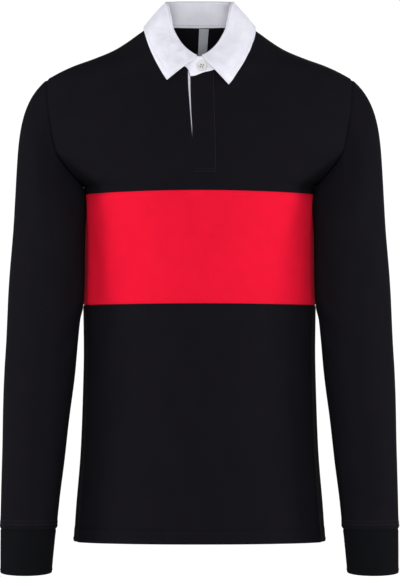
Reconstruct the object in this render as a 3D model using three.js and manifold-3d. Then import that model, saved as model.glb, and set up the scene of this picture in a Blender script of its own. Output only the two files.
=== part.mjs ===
// Rugby shirt in its worn shape with no wearer: a hollow body, long sleeves, a turned-down collar.
// Millimetres, +Z up. The origin lies midway between the neck ends of the shoulder seams.
// The front faces -Y, and +X is the side of the wearer's left hand.
// "Drop" is the distance below the origin.
import * as THREE from 'three';
import { mergeVertices } from 'three/addons/utils/BufferGeometryUtils.js';
import Module from 'manifold-3d';

const wasm = await Module();
wasm.setup();

// Driving dimensions
const CLOTH = 2;
const SEAM_GAP = 0.3;
const NECK_HALF_WIDTH = 60;
const NECK_DROP_FRONT = 82;
const NECK_DROP_BACK = 12.5;
const NECK_LAP_TILT = 0.2;
const NECK_LAP_REACH = 40;
const SHOULDER_HALF_WIDTH = 212;
const SHOULDER_DROP = 83.4;
const UNDERARM_DROP = 232;
const BAND_TOP_DROP = 243.3;
const BAND_TOP_ARCH = 4.7;
const BAND_BOTTOM_DROP = 396;
const BAND_BOTTOM_ARCH = 2.6;
const HEM_DROP = 722.8;
const CREST_POWER = 0.48;
const SLEEVE_CAP_DROP = 300;
const CUFF_RIM_TILT = 3.2;
const CUFF_FOLD = 0.5;
const PLACKET_BOTTOM_DROP = 215.3;
const PLACKET_OVER = { lift: 0.8, thickness: 1.6 };
const PLACKET_UNDER = { lift: -1.1, thickness: 1.2, narrower: 3, shorter: 6 };
const BUTTON_DIAMETER = 14.5;
const BUTTON_THICKNESS = 2.8;
const BUTTON_HOLE = { radius: 0.8, place: 1.5 };

// Shape of the neckline: how it bows along its width, and how its bottom rounds
const NECK_FRONT_CURVE = { bow: 2.1, depth: 0.78 };
const NECK_BACK_CURVE = { bow: 2.4, depth: 0.8 };

// Sleeve cap: where the armhole ends under the arm in degrees, and how the cloth leaves the seam
const UNDERARM_TURN = 212;
const CAP_SPREAD = { most: 0.62, fade: 1.5 };
const CAP_OUTWARDS = [0.97, 0, -0.24];
const CAP_PULL = { sides: 44, under: 24, outside: 62 };
const CAP_REST = { inside: 0.38, outside: 0.42, lean: 0.09 };
const ARMPIT_TUCK = { depth: 0.6, turn: 2.95, reach: 0.4 };
const MITRE_LIMIT = 1.25;

// Collar: its laps in front, in degrees from the front middle, and its clearances
const STAND_LAP = { shift: 1.2, full: 10, fade: 24 };
const STAND_END = { under: -14, over: 12.2, slant: 9 };
const STAND_DIP = { drop: 3.2, reach: 15 };
const STAND_FOOT_GAP = 0.95;
const LEAF_START = 1.2;
const LEAF_GAP = 0.4;
const LEAF_LIFT = 1.3;
const LEAF_BOW_POWER = 0.8;
const LEAF_CREST = { turn: 92, reach: 4 };
const BUTTON_SEAT = { turn: 357.6, share: 0.55, wide: 3, spread: 0.2, away: 0.35 };

// Neck label: its columns from the middle, its two ends, and how far it leans
const LABEL = { columns: [0.5, 4.6, 8.8, 13], top: 14.5, bottom: 58, lean: 0.04, thickness: 1, gap: 1 };

// How finely the cloth is divided
const NECK_COLUMNS = 9;
const SIDE_COLUMNS = 7;
const ARMHOLE_ROWS = 12;
const BAND_ROWS = 3;
const LOWER_ROWS = 7;
const CAP_ROWS = 8;
const PLACKET_ROWS = 9;
const PLACKET_COLUMNS = 3;
const STAND_ROWS = 3;
const LEAF_ROWS = 5;
const LABEL_ROWS = 4;

// The collar shares its columns with the neckline, so the seam between them stays even
const TURN_STEP = 90 / NECK_COLUMNS;

// Half girths of the body: the full half width, where the armhole cuts it, and the depth each way
const BODY = table(['drop', 'halfWidth', 'edge', 'front', 'back', 'power'], [
  [0, 60, 212, 60, 56, 1.36],
  [6, 68.5, 212, 62, 57.5, 1.37],
  [13.6, 77, 212, 63.5, 59.5, 1.38],
  [20, 86, 212, 65, 62, 1.39],
  [30.8, 101, 212, 67, 66, 1.43],
  [41.7, 118.8, 212, 69.5, 70, 1.47],
  [52.8, 145, 212, 72.5, 74, 1.53],
  [64, 175.8, 212, 75.5, 78, 1.62],
  [75, 199, 212, 78, 82.5, 1.7],
  [83.4, 212, 212, 80.5, 86, 1.76],
  [105, 226, 211, 91, 95, 1.88],
  [140, 240, 207, 107, 107, 2.0],
  [181, 235, 200, 119, 115, 2.05],
  [205, 205, 185, 123, 117, 2.15],
  [222, 178, 170, 125, 118, 2.35],
  [232, 160.5, 160.5, 126, 118, 2.5],
  [245, 159.8, 159.8, 125.5, 117, 2.5],
  [267, 158.6, 158.6, 124, 114, 2.45],
  [306, 159.3, 159.3, 121, 108, 2.35],
  [347, 160.3, 160.3, 118, 103, 2.3],
  [396, 161.3, 161.3, 115, 98, 2.25],
  [459, 160.7, 160.7, 112, 93, 2.2],
  [528, 162.2, 162.2, 111, 94, 2.2],
  [598, 165, 165, 112, 100, 2.2],
  [681, 171.7, 171.7, 112, 106, 2.2],
  [722.8, 174.4, 174.4, 112, 108, 2.2],
]);

// Sleeve girths below the cap: side limits, the place of the middle front to back, and the depth
const SLEEVE = table(['drop', 'inner', 'outer', 'middle', 'depth'], [
  [300, 156.6, 258.3, -36, 116],
  [345, 157, 262.2, -37, 114],
  [385, 158.4, 264.6, -38, 112],
  [400, 160.2, 265.2, -38, 111],
  [416, 164.6, 266, -38, 110],
  [440, 167, 267.2, -38.5, 108],
  [485, 171.2, 269.7, -40, 104],
  [545, 178.8, 271.6, -42, 99],
  [605, 185.6, 272.8, -44, 93],
  [660, 192.8, 274.1, -46, 86],
  [704.2, 196.9, 275.4, -48, 80],
]);

const CUFF = table(['drop', 'inner', 'outer', 'middle', 'depth'], [
  [704.6, 197.9, 274.6, -48, 77],
  [735, 201, 274.9, -48.5, 74],
  [764.5, 203.9, 275, -49, 72],
]);

// Top of the collar stand by turn, in degrees from the front middle round to the back middle
const FOLD = table(['turn', 'x', 'y', 'drop'], [
  [0, 0, -72.5, 54.4],
  [7.7, 6.2, -72, 52.8],
  [18.5, 14.9, -69, 47.4],
  [31, 25.3, -64, 37.8],
  [41.8, 32.7, -58, 27.1],
  [52.3, 38.3, -49.5, 15.4],
  [60, 41, -41.5, 2.4],
  [67.7, 43, -33.5, -8],
  [77, 45.2, -21.5, -17.5],
  [92, 47, -3, -22.8],
  [107, 45.5, 15, -23.8],
  [127, 39, 32, -24.8],
  [147, 27.5, 43.5, -25.8],
  [164, 14, 49.5, -26.4],
  [180, 0, 51.5, -26.6],
]);

// Outer edge of the collar leaf, whose two points hang unevenly, and how far it bows off the stand
const LEAF = table(['turn', 'rightX', 'rightDrop', 'leftX', 'leftDrop', 'bow'], [
  [1.2, 44.1, 86.7, 39.5, 93.1, 3.5],
  [8, 47.5, 81.5, 44.5, 87, 3.5],
  [18, 51.5, 75, 50, 78, 3.5],
  [30, 56.5, 66, 56, 69, 3],
  [41, 60.8, 58, 61, 60.8, 2.5],
  [52, 65, 49, 65.5, 52, 2],
  [60, 67.8, 42, 69.2, 44, 1.8],
  [68, 70.2, 35, 72, 35.5, 1.5],
  [77, 72.8, 26, 74.9, 26.5, 1.2],
  [92, 76.3, 13, 76.6, 13.2, 1],
  [107, 74, 16.5, 74, 16.5, 1.5],
  [122, 66, 19, 66, 19, 2.5],
  [137, 54, 21.5, 54, 21.5, 3],
  [150, 41, 23, 41, 23, 3],
  [165, 21.5, 24.3, 21.5, 24.3, 3],
  [180, 0, 25, 0, 25, 3],
]);

// Edges of the placket strips, which slant a little
const PLACKET = table(['drop', 'slitLeft', 'overLeft', 'right'], [
  [60, -16.3, -12.6, 20.6],
  [81.6, -16, -12.5, 20.7],
  [130, -12.6, -10.3, 21.9],
  [170, -9.3, -8.9, 22.8],
  [PLACKET_BOTTOM_DROP, -7.3, -6.9, 23.9],
]);

// Cloth and button colours
const BLACK_JERSEY = { color: 0x17151a, roughness: 0.9 };
const RED_JERSEY = { color: 0xe41531, roughness: 0.88 };
const WHITE_TWILL = { color: 0xd6d5e0, roughness: 0.85 };
const GREY_TAPE = { color: 0x77777b, roughness: 0.8 };
const BUTTON_RESIN = { color: 0xc6c5c4, roughness: 0.35 };

function table(names, rows) {
  return rows.map((row) => Object.fromEntries(names.map((name, i) => [name, row[i]])));
}

// A smooth curve through one column of a table, which never swings past its rows
function curveOf(rows, along, column) {
  const t = rows.map((row) => row[along]);
  const v = rows.map((row) => row[column]);
  const last = t.length - 1;
  const rise = [];
  for (let i = 0; i < last; i += 1) {
    rise.push((v[i + 1] - v[i]) / (t[i + 1] - t[i]));
  }
  const slope = [rise[0]];
  for (let i = 1; i < last; i += 1) {
    const product = rise[i - 1] * rise[i];
    slope.push(product > 0 ? (2 * product) / (rise[i - 1] + rise[i]) : 0);
  }
  slope.push(rise[last - 1]);
  return (where) => {
    const at = Math.min(Math.max(where, t[0]), t[last]);
    let i = 0;
    while (i < last - 1 && at > t[i + 1]) {
      i += 1;
    }
    const span = t[i + 1] - t[i];
    const s = (at - t[i]) / span;
    const keep = (1 + 2 * s) * (1 - s) ** 2 * v[i] + s * s * (3 - 2 * s) * v[i + 1];
    return keep + span * (s * (1 - s) ** 2 * slope[i] - s * s * (1 - s) * slope[i + 1]);
  };
}

function curvesOf(rows, along) {
  const names = Object.keys(rows[0]).filter((name) => name !== along);
  return Object.fromEntries(names.map((name) => [name, curveOf(rows, along, name)]));
}

const body = curvesOf(BODY, 'drop');
const sleeve = curvesOf(SLEEVE, 'drop');
const cuff = curvesOf(CUFF, 'drop');
const fold = curvesOf(FOLD, 'turn');
const leaf = curvesOf(LEAF, 'turn');
const placket = curvesOf(PLACKET, 'drop');

function mix(a, b, t) {
  return a + (b - a) * t;
}

function smoothStep(t) {
  const s = Math.min(Math.max(t, 0), 1);
  return s * s * (3 - 2 * s);
}

function moved(point, direction, distance) {
  return point.clone().addScaledVector(direction, distance);
}

function unitOf(a, b) {
  return b.clone().sub(a).normalize();
}

// Body surface. The front is side -1 and the back is side 1, as y is signed.
function bodyY(side, x, drop) {
  const share = Math.min((Math.abs(x) / body.halfWidth(drop)) ** body.power(drop), 1);
  const depth = side < 0 ? body.front(drop) : body.back(drop);
  const y = depth * (1 - share) ** CREST_POWER;
  return side * Math.max(y, SEAM_GAP / 2);
}

function edgeX(drop) {
  return drop >= UNDERARM_DROP ? body.halfWidth(drop) : body.edge(drop);
}

// Zero on the body surface, growing outwards
function bodyLevel(x, y, z) {
  const depth = y < 0 ? body.front(-z) : body.back(-z);
  const across = (Math.abs(x) / body.halfWidth(-z)) ** body.power(-z);
  return across + (Math.abs(y) / depth) ** (1 / CREST_POWER) - 1;
}

function bodySlope(point) {
  const step = 0.5;
  const slope = new THREE.Vector3();
  for (const axis of ['x', 'y', 'z']) {
    const ahead = point.clone();
    const behind = point.clone();
    ahead[axis] += step;
    behind[axis] -= step;
    slope[axis] = bodyLevel(ahead.x, ahead.y, ahead.z) - bodyLevel(behind.x, behind.y, behind.z);
  }
  return slope.divideScalar(2 * step);
}

function bodyNormal(point) {
  return bodySlope(point).normalize();
}

function neckDrop(side, x) {
  const share = Math.min(Math.abs(x) / NECK_HALF_WIDTH, 1);
  if (side > 0) {
    return NECK_DROP_BACK * (1 - share ** NECK_BACK_CURVE.bow) ** NECK_BACK_CURVE.depth;
  }
  const reach = Math.max(1 - (x / NECK_LAP_REACH) ** 2, 0);
  const scoop = NECK_DROP_FRONT * (1 - share ** NECK_FRONT_CURVE.bow) ** NECK_FRONT_CURVE.depth;
  return scoop - NECK_LAP_TILT * x * reach ** 2;
}

// The shoulder seam drops as it runs outwards: the drop at which the body is as wide as x
function shoulderDrop(x) {
  let low = 0;
  let high = SHOULDER_DROP;
  for (let i = 0; i < 40; i += 1) {
    const middle = (low + high) / 2;
    if (body.halfWidth(middle) < x) {
      low = middle;
    } else {
      high = middle;
    }
  }
  return high;
}

function topDrop(side, share) {
  const x = share * SHOULDER_HALF_WIDTH;
  if (Math.abs(x) < NECK_HALF_WIDTH - 0.01) {
    return neckDrop(side, x);
  }
  return shoulderDrop(Math.abs(x));
}

// Columns run from the wearer's right edge to the left edge, as shares of the half width
function columnShares() {
  const neckShare = NECK_HALF_WIDTH / SHOULDER_HALF_WIDTH;
  const half = [0];
  for (let i = 1; i <= NECK_COLUMNS; i += 1) {
    half.push(neckShare * Math.sin((i / NECK_COLUMNS) * (Math.PI / 2)));
  }
  const start = Math.asin(neckShare);
  for (let i = 1; i <= SIDE_COLUMNS; i += 1) {
    half.push(Math.sin(mix(start, Math.PI / 2, i / SIDE_COLUMNS)));
  }
  const mirror = half.slice(1).reverse().map((share) => -share);
  return [...mirror, ...half];
}

const SHARES = columnShares();

function bandTop(side, share) {
  return BAND_TOP_DROP - (side < 0 ? BAND_TOP_ARCH * (1 - share * share) : 0);
}

function bandBottom(side, share) {
  return BAND_BOTTOM_DROP - (side < 0 ? BAND_BOTTOM_ARCH * (1 - share * share) : 0);
}

function bodyPoint(side, share, drop) {
  const x = share * edgeX(drop);
  return new THREE.Vector3(x, bodyY(side, x, drop), -drop);
}

// Drops of one column of the chest, from the band seam up to the neckline or the shoulder seam
function chestDrops(side, share) {
  const drops = [bandTop(side, share) - SEAM_GAP / 2];
  const top = topDrop(side, share);
  for (let i = 0; i <= ARMHOLE_ROWS; i += 1) {
    drops.push(mix(UNDERARM_DROP, top, (1 - Math.cos((Math.PI * i) / ARMHOLE_ROWS)) / 2));
  }
  return drops;
}

function evenSteps(from, to, count) {
  return Array.from({ length: count + 1 }, (_, i) => mix(from, to, i / count));
}

// A grid of points, one list for each row, from the drops of each column
function panelGrid(side, dropsOf) {
  const columns = SHARES.map((share) => (
    dropsOf(side, share).map((drop) => bodyPoint(side, share, drop))
  ));
  return columns[0].map((_, row) => columns.map((column) => column[row]));
}

// Outward normals of a grid, found from the neighbours of each point
function gridNormals(grid, round, turnedOver) {
  const rows = grid.length;
  const columns = grid[0].length;
  return grid.map((line, r) => line.map((_, c) => {
    const left = round ? (c + columns - 1) % columns : Math.max(c - 1, 0);
    const right = round ? (c + 1) % columns : Math.min(c + 1, columns - 1);
    const across = grid[r][right].clone().sub(grid[r][left]);
    const along = grid[Math.min(r + 1, rows - 1)][c].clone().sub(grid[Math.max(r - 1, 0)][c]);
    const normal = across.cross(along).normalize();
    return turnedOver ? normal.negate() : normal;
  }));
}

function volumeOf(points, faces) {
  let total = 0;
  for (let i = 0; i < faces.length; i += 3) {
    const a = points[faces[i]];
    const b = points[faces[i + 1]];
    const c = points[faces[i + 2]];
    total += a.dot(b.clone().cross(c)) / 6;
  }
  return total;
}

// A closed cloth wall between two grids of points, joined round where the piece is a tube
function clothWall(outer, inner, round = false) {
  const rows = outer.length;
  const columns = outer[0].length;
  const points = [...outer.flat(), ...inner.flat()];
  const cells = round ? columns : columns - 1;
  const faces = [];
  const at = (layer, r, c) => layer * rows * columns + r * columns + (c % columns);
  // Each four-sided cell is split along its shorter diagonal
  const quad = (a, b, c, d) => {
    if (points[a].distanceTo(points[c]) <= points[b].distanceTo(points[d])) {
      faces.push(a, b, c, a, c, d);
    } else {
      faces.push(a, b, d, b, c, d);
    }
  };
  for (let r = 0; r < rows - 1; r += 1) {
    for (let c = 0; c < cells; c += 1) {
      quad(at(0, r, c), at(0, r, c + 1), at(0, r + 1, c + 1), at(0, r + 1, c));
      quad(at(1, r, c), at(1, r + 1, c), at(1, r + 1, c + 1), at(1, r, c + 1));
    }
  }
  for (let c = 0; c < cells; c += 1) {
    quad(at(0, 0, c), at(1, 0, c), at(1, 0, c + 1), at(0, 0, c + 1));
    quad(at(0, rows - 1, c), at(0, rows - 1, c + 1), at(1, rows - 1, c + 1), at(1, rows - 1, c));
  }
  for (let r = 0; r < rows - 1 && !round; r += 1) {
    quad(at(0, r, 0), at(0, r + 1, 0), at(1, r + 1, 0), at(1, r, 0));
    quad(at(0, r, cells), at(1, r, cells), at(1, r + 1, cells), at(0, r + 1, cells));
  }
  if (volumeOf(points, faces) < 0) {
    faces.reverse();
  }
  const geometry = new THREE.BufferGeometry();
  const places = points.flatMap((point) => point.toArray());
  geometry.setAttribute('position', new THREE.Float32BufferAttribute(places, 3));
  geometry.setIndex(faces);
  return geometry;
}

// The armhole of the wearer's left side: a ring from the shoulder point down the front and up the back
function armholeRing() {
  const front = [];
  const back = [];
  const up = chestDrops(-1, 1).slice(1).reverse();
  for (const drop of up) {
    front.push(bodyPoint(-1, 1, drop));
    back.push(bodyPoint(1, 1, drop));
  }
  front[0].y = 0;
  front[ARMHOLE_ROWS].y = 0;
  return [...front, ...back.slice(1, ARMHOLE_ROWS).reverse()];
}

// How far round the sleeve each armhole point comes: 0 outside, then the front, inside and back
function sleeveTurns(ring) {
  const lengths = [0];
  for (let j = 1; j <= ring.length; j += 1) {
    lengths.push(lengths[j - 1] + ring[j % ring.length].distanceTo(ring[j - 1]));
  }
  const under = lengths[ARMHOLE_ROWS];
  const whole = lengths[ring.length];
  return ring.map((_, j) => {
    const turn = j <= ARMHOLE_ROWS
      ? (UNDERARM_TURN * lengths[j]) / under
      : mix(UNDERARM_TURN, 360, (lengths[j] - under) / (whole - under));
    return THREE.MathUtils.degToRad(turn);
  });
}

function girthPoint(girth, drop, turn) {
  const centre = (girth.inner(drop) + girth.outer(drop)) / 2;
  const halfWidth = (girth.outer(drop) - girth.inner(drop)) / 2;
  const x = centre + halfWidth * Math.cos(turn);
  const y = girth.middle(drop) - (girth.depth(drop) / 2) * Math.sin(turn);
  return new THREE.Vector3(x, y, -drop);
}

// The way the sleeve leaves the armhole: out over the shoulder, and tucked in at the front armpit
function capStart(point, end, turn) {
  const spread = CAP_SPREAD.most * Math.abs(Math.cos(turn / 2)) ** CAP_SPREAD.fade;
  const start = unitOf(point, end).multiplyScalar(1 - spread);
  start.addScaledVector(new THREE.Vector3(...CAP_OUTWARDS), spread);
  const fromArmpit = (turn - ARMPIT_TUCK.turn) / ARMPIT_TUCK.reach;
  start.x -= ARMPIT_TUCK.depth * Math.exp(-(fromArmpit ** 2));
  return start.normalize();
}

// Where the seam folds, both walls share an end face that halves the angle between them
function armholeSeam() {
  const ring = armholeRing();
  const turns = sleeveTurns(ring);
  const count = ring.length;
  return ring.map((point, j) => {
    const along = unitOf(ring[(j + count - 1) % count], ring[(j + 1) % count]);
    const end = girthPoint(sleeve, SLEEVE_CAP_DROP, turns[j]);
    const start = capStart(point, end, turns[j]);
    const bodySide = bodyNormal(point);
    bodySide.addScaledVector(along, -bodySide.dot(along)).normalize();
    const sleeveSide = along.clone().cross(start).normalize();
    const outwards = bodySide.clone().add(sleeveSide).normalize();
    const away = along.clone().cross(outwards).negate();
    if (away.dot(start.clone().add(new THREE.Vector3(1, 0, 0))) < 0) {
      away.negate();
    }
    const stretch = Math.min(1 / Math.max(outwards.dot(bodySide), 1 / MITRE_LIMIT), MITRE_LIMIT);
    return { point, start, end, outwards, away, depth: CLOTH * stretch, turn: turns[j] };
  });
}

const seam = armholeSeam();

function mirrored(grid) {
  return grid.map((line) => line.map((point) => new THREE.Vector3(-point.x, point.y, point.z)));
}

function insetGrid(grid, round, thickness, turnedOver = false) {
  const normals = gridNormals(grid, round, turnedOver);
  return grid.map((line, r) => line.map((point, c) => moved(point, normals[r][c], -thickness)));
}

// Body panels: the inner face keeps to the seam planes at the edges
function bodyInner(side, grid) {
  const normals = gridNormals(grid, false, side > 0);
  const last = grid[0].length - 1;
  return grid.map((line, r) => line.map((point, c) => {
    const normal = normals[r][c];
    const onSideEdge = c === 0 || c === last;
    if (onSideEdge || Math.abs(point.y) < SEAM_GAP) {
      normal.y = 0;
    }
    if (r === 0) {
      normal.z = 0;
    }
    return moved(point, normal.normalize(), -CLOTH);
  }));
}

function chestGrids(side) {
  const outer = panelGrid(side, chestDrops);
  const inner = bodyInner(side, outer);
  const last = outer[0].length - 1;
  for (let r = 1; r < outer.length; r += 1) {
    const step = ARMHOLE_ROWS + 1 - r;
    const at = seam[side < 0 ? step : (seam.length - step) % seam.length];
    for (const column of [0, last]) {
      const inwards = at.outwards.clone().multiplyScalar(-at.depth);
      inwards.x *= column === 0 ? -1 : 1;
      inner[r][column] = outer[r][column].clone().add(inwards);
    }
  }
  return { outer, inner };
}

function toSolid(geometry) {
  const bare = geometry.clone();
  bare.deleteAttribute('normal');
  bare.deleteAttribute('uv');
  const merged = mergeVertices(bare, 0.0001);
  return new wasm.Manifold(new wasm.Mesh({
    numProp: 3,
    vertProperties: new Float32Array(merged.attributes.position.array),
    triVerts: new Uint32Array(merged.index.array),
  }));
}

function fromSolid(solid) {
  const mesh = solid.getMesh();
  const geometry = new THREE.BufferGeometry();
  geometry.setAttribute('position', new THREE.Float32BufferAttribute(mesh.vertProperties, 3));
  geometry.setIndex(Array.from(mesh.triVerts));
  return geometry;
}

// The placket slit, a slanted cut from the neckline down, right through the front wall
function slitCutter() {
  const top = PLACKET[0].drop;
  const depth = body.front(PLACKET_BOTTOM_DROP);
  const shape = new THREE.Shape();
  shape.moveTo(PLACKET[0].right, -top);
  for (const drop of evenSteps(top, PLACKET_BOTTOM_DROP, PLACKET_ROWS)) {
    shape.lineTo(placket.slitLeft(drop), -drop);
  }
  for (const drop of evenSteps(PLACKET_BOTTOM_DROP, top, PLACKET_ROWS).slice(0, -1)) {
    shape.lineTo(placket.right(drop), -drop);
  }
  const geometry = new THREE.ExtrudeGeometry(shape, { depth, bevelEnabled: false });
  geometry.rotateX(Math.PI / 2);
  geometry.translate(0, -depth / 3, 0);
  return geometry;
}

function frontChest() {
  const { outer, inner } = chestGrids(-1);
  return fromSolid(toSolid(clothWall(outer, inner)).subtract(toSolid(slitCutter())));
}

function backChest() {
  const { outer, inner } = chestGrids(1);
  return clothWall(outer, inner);
}

function bandPanel(side) {
  const outer = panelGrid(side, (at, share) => evenSteps(
    bandBottom(at, share) - SEAM_GAP / 2,
    bandTop(at, share) + SEAM_GAP / 2,
    BAND_ROWS,
  ));
  const inner = bodyInner(side, outer);
  inner[BAND_ROWS].forEach((point, c) => point.setZ(outer[BAND_ROWS][c].z));
  return clothWall(outer, inner);
}

function lowerPanel(side) {
  const outer = panelGrid(side, (at, share) => evenSteps(
    HEM_DROP,
    bandBottom(at, share) + SEAM_GAP / 2,
    LOWER_ROWS,
  ));
  const inner = bodyInner(side, outer);
  inner[LOWER_ROWS].forEach((point, c) => point.setZ(outer[LOWER_ROWS][c].z));
  return clothWall(outer, inner);
}

// One streamline of the sleeve cap, from the armhole to the full girth of the sleeve
function capLine(at) {
  const begin = moved(at.point, at.away, SEAM_GAP);
  const outside = (1 + Math.cos(at.turn)) / 2;
  const under = Math.abs(Math.sin(at.turn / 2)) ** 6;
  const run = begin.distanceTo(at.end);
  const pull = mix(mix(CAP_PULL.sides, CAP_PULL.under, under), CAP_PULL.outside, outside ** 3);
  const rest = run * mix(CAP_REST.inside, CAP_REST.outside, outside);
  const first = moved(begin, at.start, pull);
  const last = moved(at.end, new THREE.Vector3(-CAP_REST.lean * outside, 0, 1), rest);
  const curve = new THREE.CubicBezierCurve3(begin, first, last, at.end);
  return Array.from({ length: CAP_ROWS + 1 }, (_, i) => curve.getPoint(i / CAP_ROWS));
}

function sleeveGrids() {
  const lines = seam.map((at) => {
    const below = SLEEVE.slice(1).map((row) => girthPoint(sleeve, row.drop, at.turn));
    return [...capLine(at), ...below];
  });
  const outer = lines[0].map((_, row) => lines.map((line) => line[row]));
  const inner = insetGrid(outer, true, CLOTH);
  const bottom = outer.length - 1;
  seam.forEach((at, j) => {
    inner[0][j] = moved(outer[0][j], at.outwards, -at.depth);
    inner[bottom][j].z = outer[bottom][j].z;
  });
  return { outer, inner };
}

// The cuff rim hangs lowest in front
function cuffGrids() {
  const last = CUFF.length - 1;
  const outer = CUFF.map((row, i) => seam.map((at) => {
    const point = girthPoint(cuff, row.drop, at.turn);
    point.z -= i === last ? CUFF_RIM_TILT * Math.sin(at.turn) : 0;
    return point;
  }));
  const inner = insetGrid(outer, true, CLOTH + CUFF_FOLD);
  inner.forEach((line, i) => line.forEach((point, j) => point.setZ(outer[i][j].z)));
  return { outer, inner };
}

function tube(grids, side) {
  const outer = side < 0 ? mirrored(grids.outer) : grids.outer;
  const inner = side < 0 ? mirrored(grids.inner) : grids.inner;
  return clothWall(outer, inner, true);
}

// Collar. The turn runs from 0 at the front middle, by the wearer's right side, to 360.
function collarPlace(turn) {
  const round = ((turn % 360) + 360) % 360;
  return round <= 180 ? { hand: -1, half: round } : { hand: 1, half: 360 - round };
}

function neckPoint(turn) {
  const { hand, half } = collarPlace(turn);
  const x = hand * NECK_HALF_WIDTH * Math.sin(THREE.MathUtils.degToRad(half));
  const side = half < 90 ? -1 : 1;
  const drop = neckDrop(side, x);
  const y = Math.abs(half - 90) < 0.5 ? 0 : bodyY(side, x, drop);
  return new THREE.Vector3(x, y, -drop);
}

function foldPoint(turn) {
  const { hand, half } = collarPlace(turn);
  return new THREE.Vector3(hand * fold.x(half), fold.y(half), -fold.drop(half));
}

function foldOutwards(turn) {
  const along = unitOf(foldPoint(turn - 2), foldPoint(turn + 2));
  return new THREE.Vector3(along.y, -along.x, 0).normalize().negate();
}

// The ends of the stand lap: the left end lies over the right one
function lapShift(turn) {
  const reach = STAND_LAP.full + STAND_LAP.fade;
  const under = smoothStep((reach - turn) / STAND_LAP.fade);
  const over = smoothStep((turn - 360 + reach) / STAND_LAP.fade);
  return STAND_LAP.shift * (over - under);
}

function standPoint(turn, share) {
  const base = neckPoint(turn);
  const top = foldPoint(turn);
  top.z -= STAND_DIP.drop * smoothStep((turn - 360) / STAND_DIP.reach + 1);
  const foot = moved(base, unitOf(base, top), STAND_FOOT_GAP);
  const point = foot.lerp(top, share);
  return moved(point, foldOutwards(turn), lapShift(turn));
}

function standGrids() {
  const shares = evenSteps(0, 1, STAND_ROWS);
  const turns = evenSteps(0, 360, 360 / TURN_STEP);
  const outer = shares.map((share) => {
    const end = 360 + STAND_END.over + STAND_END.slant * share;
    const all = [STAND_END.under, STAND_END.under / 2, ...turns, (360 + end) / 2, end];
    return all.map((turn) => standPoint(turn, share));
  });
  const inner = insetGrid(outer, false, CLOTH, true);
  return { outer, inner };
}

function leafEdge(turn) {
  const { hand, half } = collarPlace(turn);
  const side = half < LEAF_CREST.turn ? -1 : 1;
  const x = hand < 0 ? leaf.rightX(half) : leaf.leftX(half);
  const drop = hand < 0 ? leaf.rightDrop(half) : leaf.leftDrop(half);
  const point = new THREE.Vector3(hand * x, bodyY(side, x, drop), -drop);
  if (Math.abs(half - LEAF_CREST.turn) < LEAF_CREST.reach) {
    point.y = 0;
  }
  return moved(point, bodyNormal(point), LEAF_LIFT);
}

// The leaf rolls over the top of the stand and runs down outside it to its edge on the body
function leafLine(turn) {
  const { half } = collarPlace(turn);
  const outwards = foldOutwards(turn);
  const up = new THREE.Vector3(0, 0, 1);
  const lap = Math.abs(lapShift(turn));
  const corner = moved(foldPoint(turn), outwards, lap);
  const heel = moved(foldPoint(turn), outwards, (turn < 180 ? -lap : lap) - CLOTH);
  const slant = up.clone().add(outwards).normalize();
  const roll = [[heel, up], [corner, up], [corner, slant], [corner, outwards]];
  const line = roll.map(([from, way]) => ({
    inner: moved(from, way, LEAF_GAP),
    outer: moved(from, way, LEAF_GAP + CLOTH),
  }));
  const begin = line[3].inner;
  const end = leafEdge(turn);
  for (let i = 1; i <= LEAF_ROWS; i += 1) {
    const share = i / LEAF_ROWS;
    const point = begin.clone().lerp(end, share);
    const bow = leaf.bow(half) * Math.max(Math.sin(Math.PI * share), 0) ** LEAF_BOW_POWER;
    line.push({ inner: moved(point, outwards, bow), outer: null });
  }
  return line;
}

function leafGrids() {
  const even = evenSteps(TURN_STEP, 180, 180 / TURN_STEP - 1);
  const extra = [LEAF_START, TURN_STEP / 2, 90 - TURN_STEP / 2, 90 + TURN_STEP / 2];
  const half = [...extra, ...even].sort((a, b) => a - b);
  const turns = [...half, ...half.slice(0, -1).reverse().map((turn) => 360 - turn)];
  const lines = turns.map(leafLine);
  const rows = lines[0].map((_, row) => lines.map((line) => line[row]));
  const inner = rows.map((row) => row.map((pair) => pair.inner));
  const below = inner.slice(3);
  const normals = gridNormals(below, false, false);
  const outer = rows.map((row, r) => row.map((pair, c) => (
    r <= 3 ? pair.outer : moved(pair.inner, normals[r - 3][c], CLOTH)
  )));
  return { outer, inner };
}

// Points on the body, moved out or in along its normals
function liftedGrid(surface, lift) {
  return surface.map((line) => line.map((point) => moved(point, bodyNormal(point), lift)));
}

// A strip that follows the front panel between two edges
function placketStrip(leftOf, rightOf, bottom, lift, thickness) {
  const lines = evenSteps(0, 1, PLACKET_COLUMNS).map((across) => {
    const xAt = (drop) => mix(leftOf(drop), rightOf(drop), across);
    const top = neckDrop(-1, xAt(NECK_DROP_FRONT)) + SEAM_GAP;
    return evenSteps(bottom, top, PLACKET_ROWS).map((drop) => {
      const x = xAt(drop);
      return new THREE.Vector3(x, bodyY(-1, x, drop), -drop);
    });
  });
  const surface = lines[0].map((_, row) => lines.map((line) => line[row]));
  return clothWall(liftedGrid(surface, lift), liftedGrid(surface, lift - thickness));
}

function placketOver() {
  const right = (drop) => placket.right(drop) - SEAM_GAP;
  const bottom = PLACKET_BOTTOM_DROP - SEAM_GAP;
  return placketStrip(placket.overLeft, right, bottom, PLACKET_OVER.lift, PLACKET_OVER.thickness);
}

function placketUnder() {
  const left = (drop) => placket.slitLeft(drop) + SEAM_GAP;
  const right = (drop) => placket.right(drop) - PLACKET_UNDER.narrower;
  const bottom = PLACKET_BOTTOM_DROP - PLACKET_UNDER.shorter;
  return placketStrip(left, right, bottom, PLACKET_UNDER.lift, PLACKET_UNDER.thickness);
}

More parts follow.
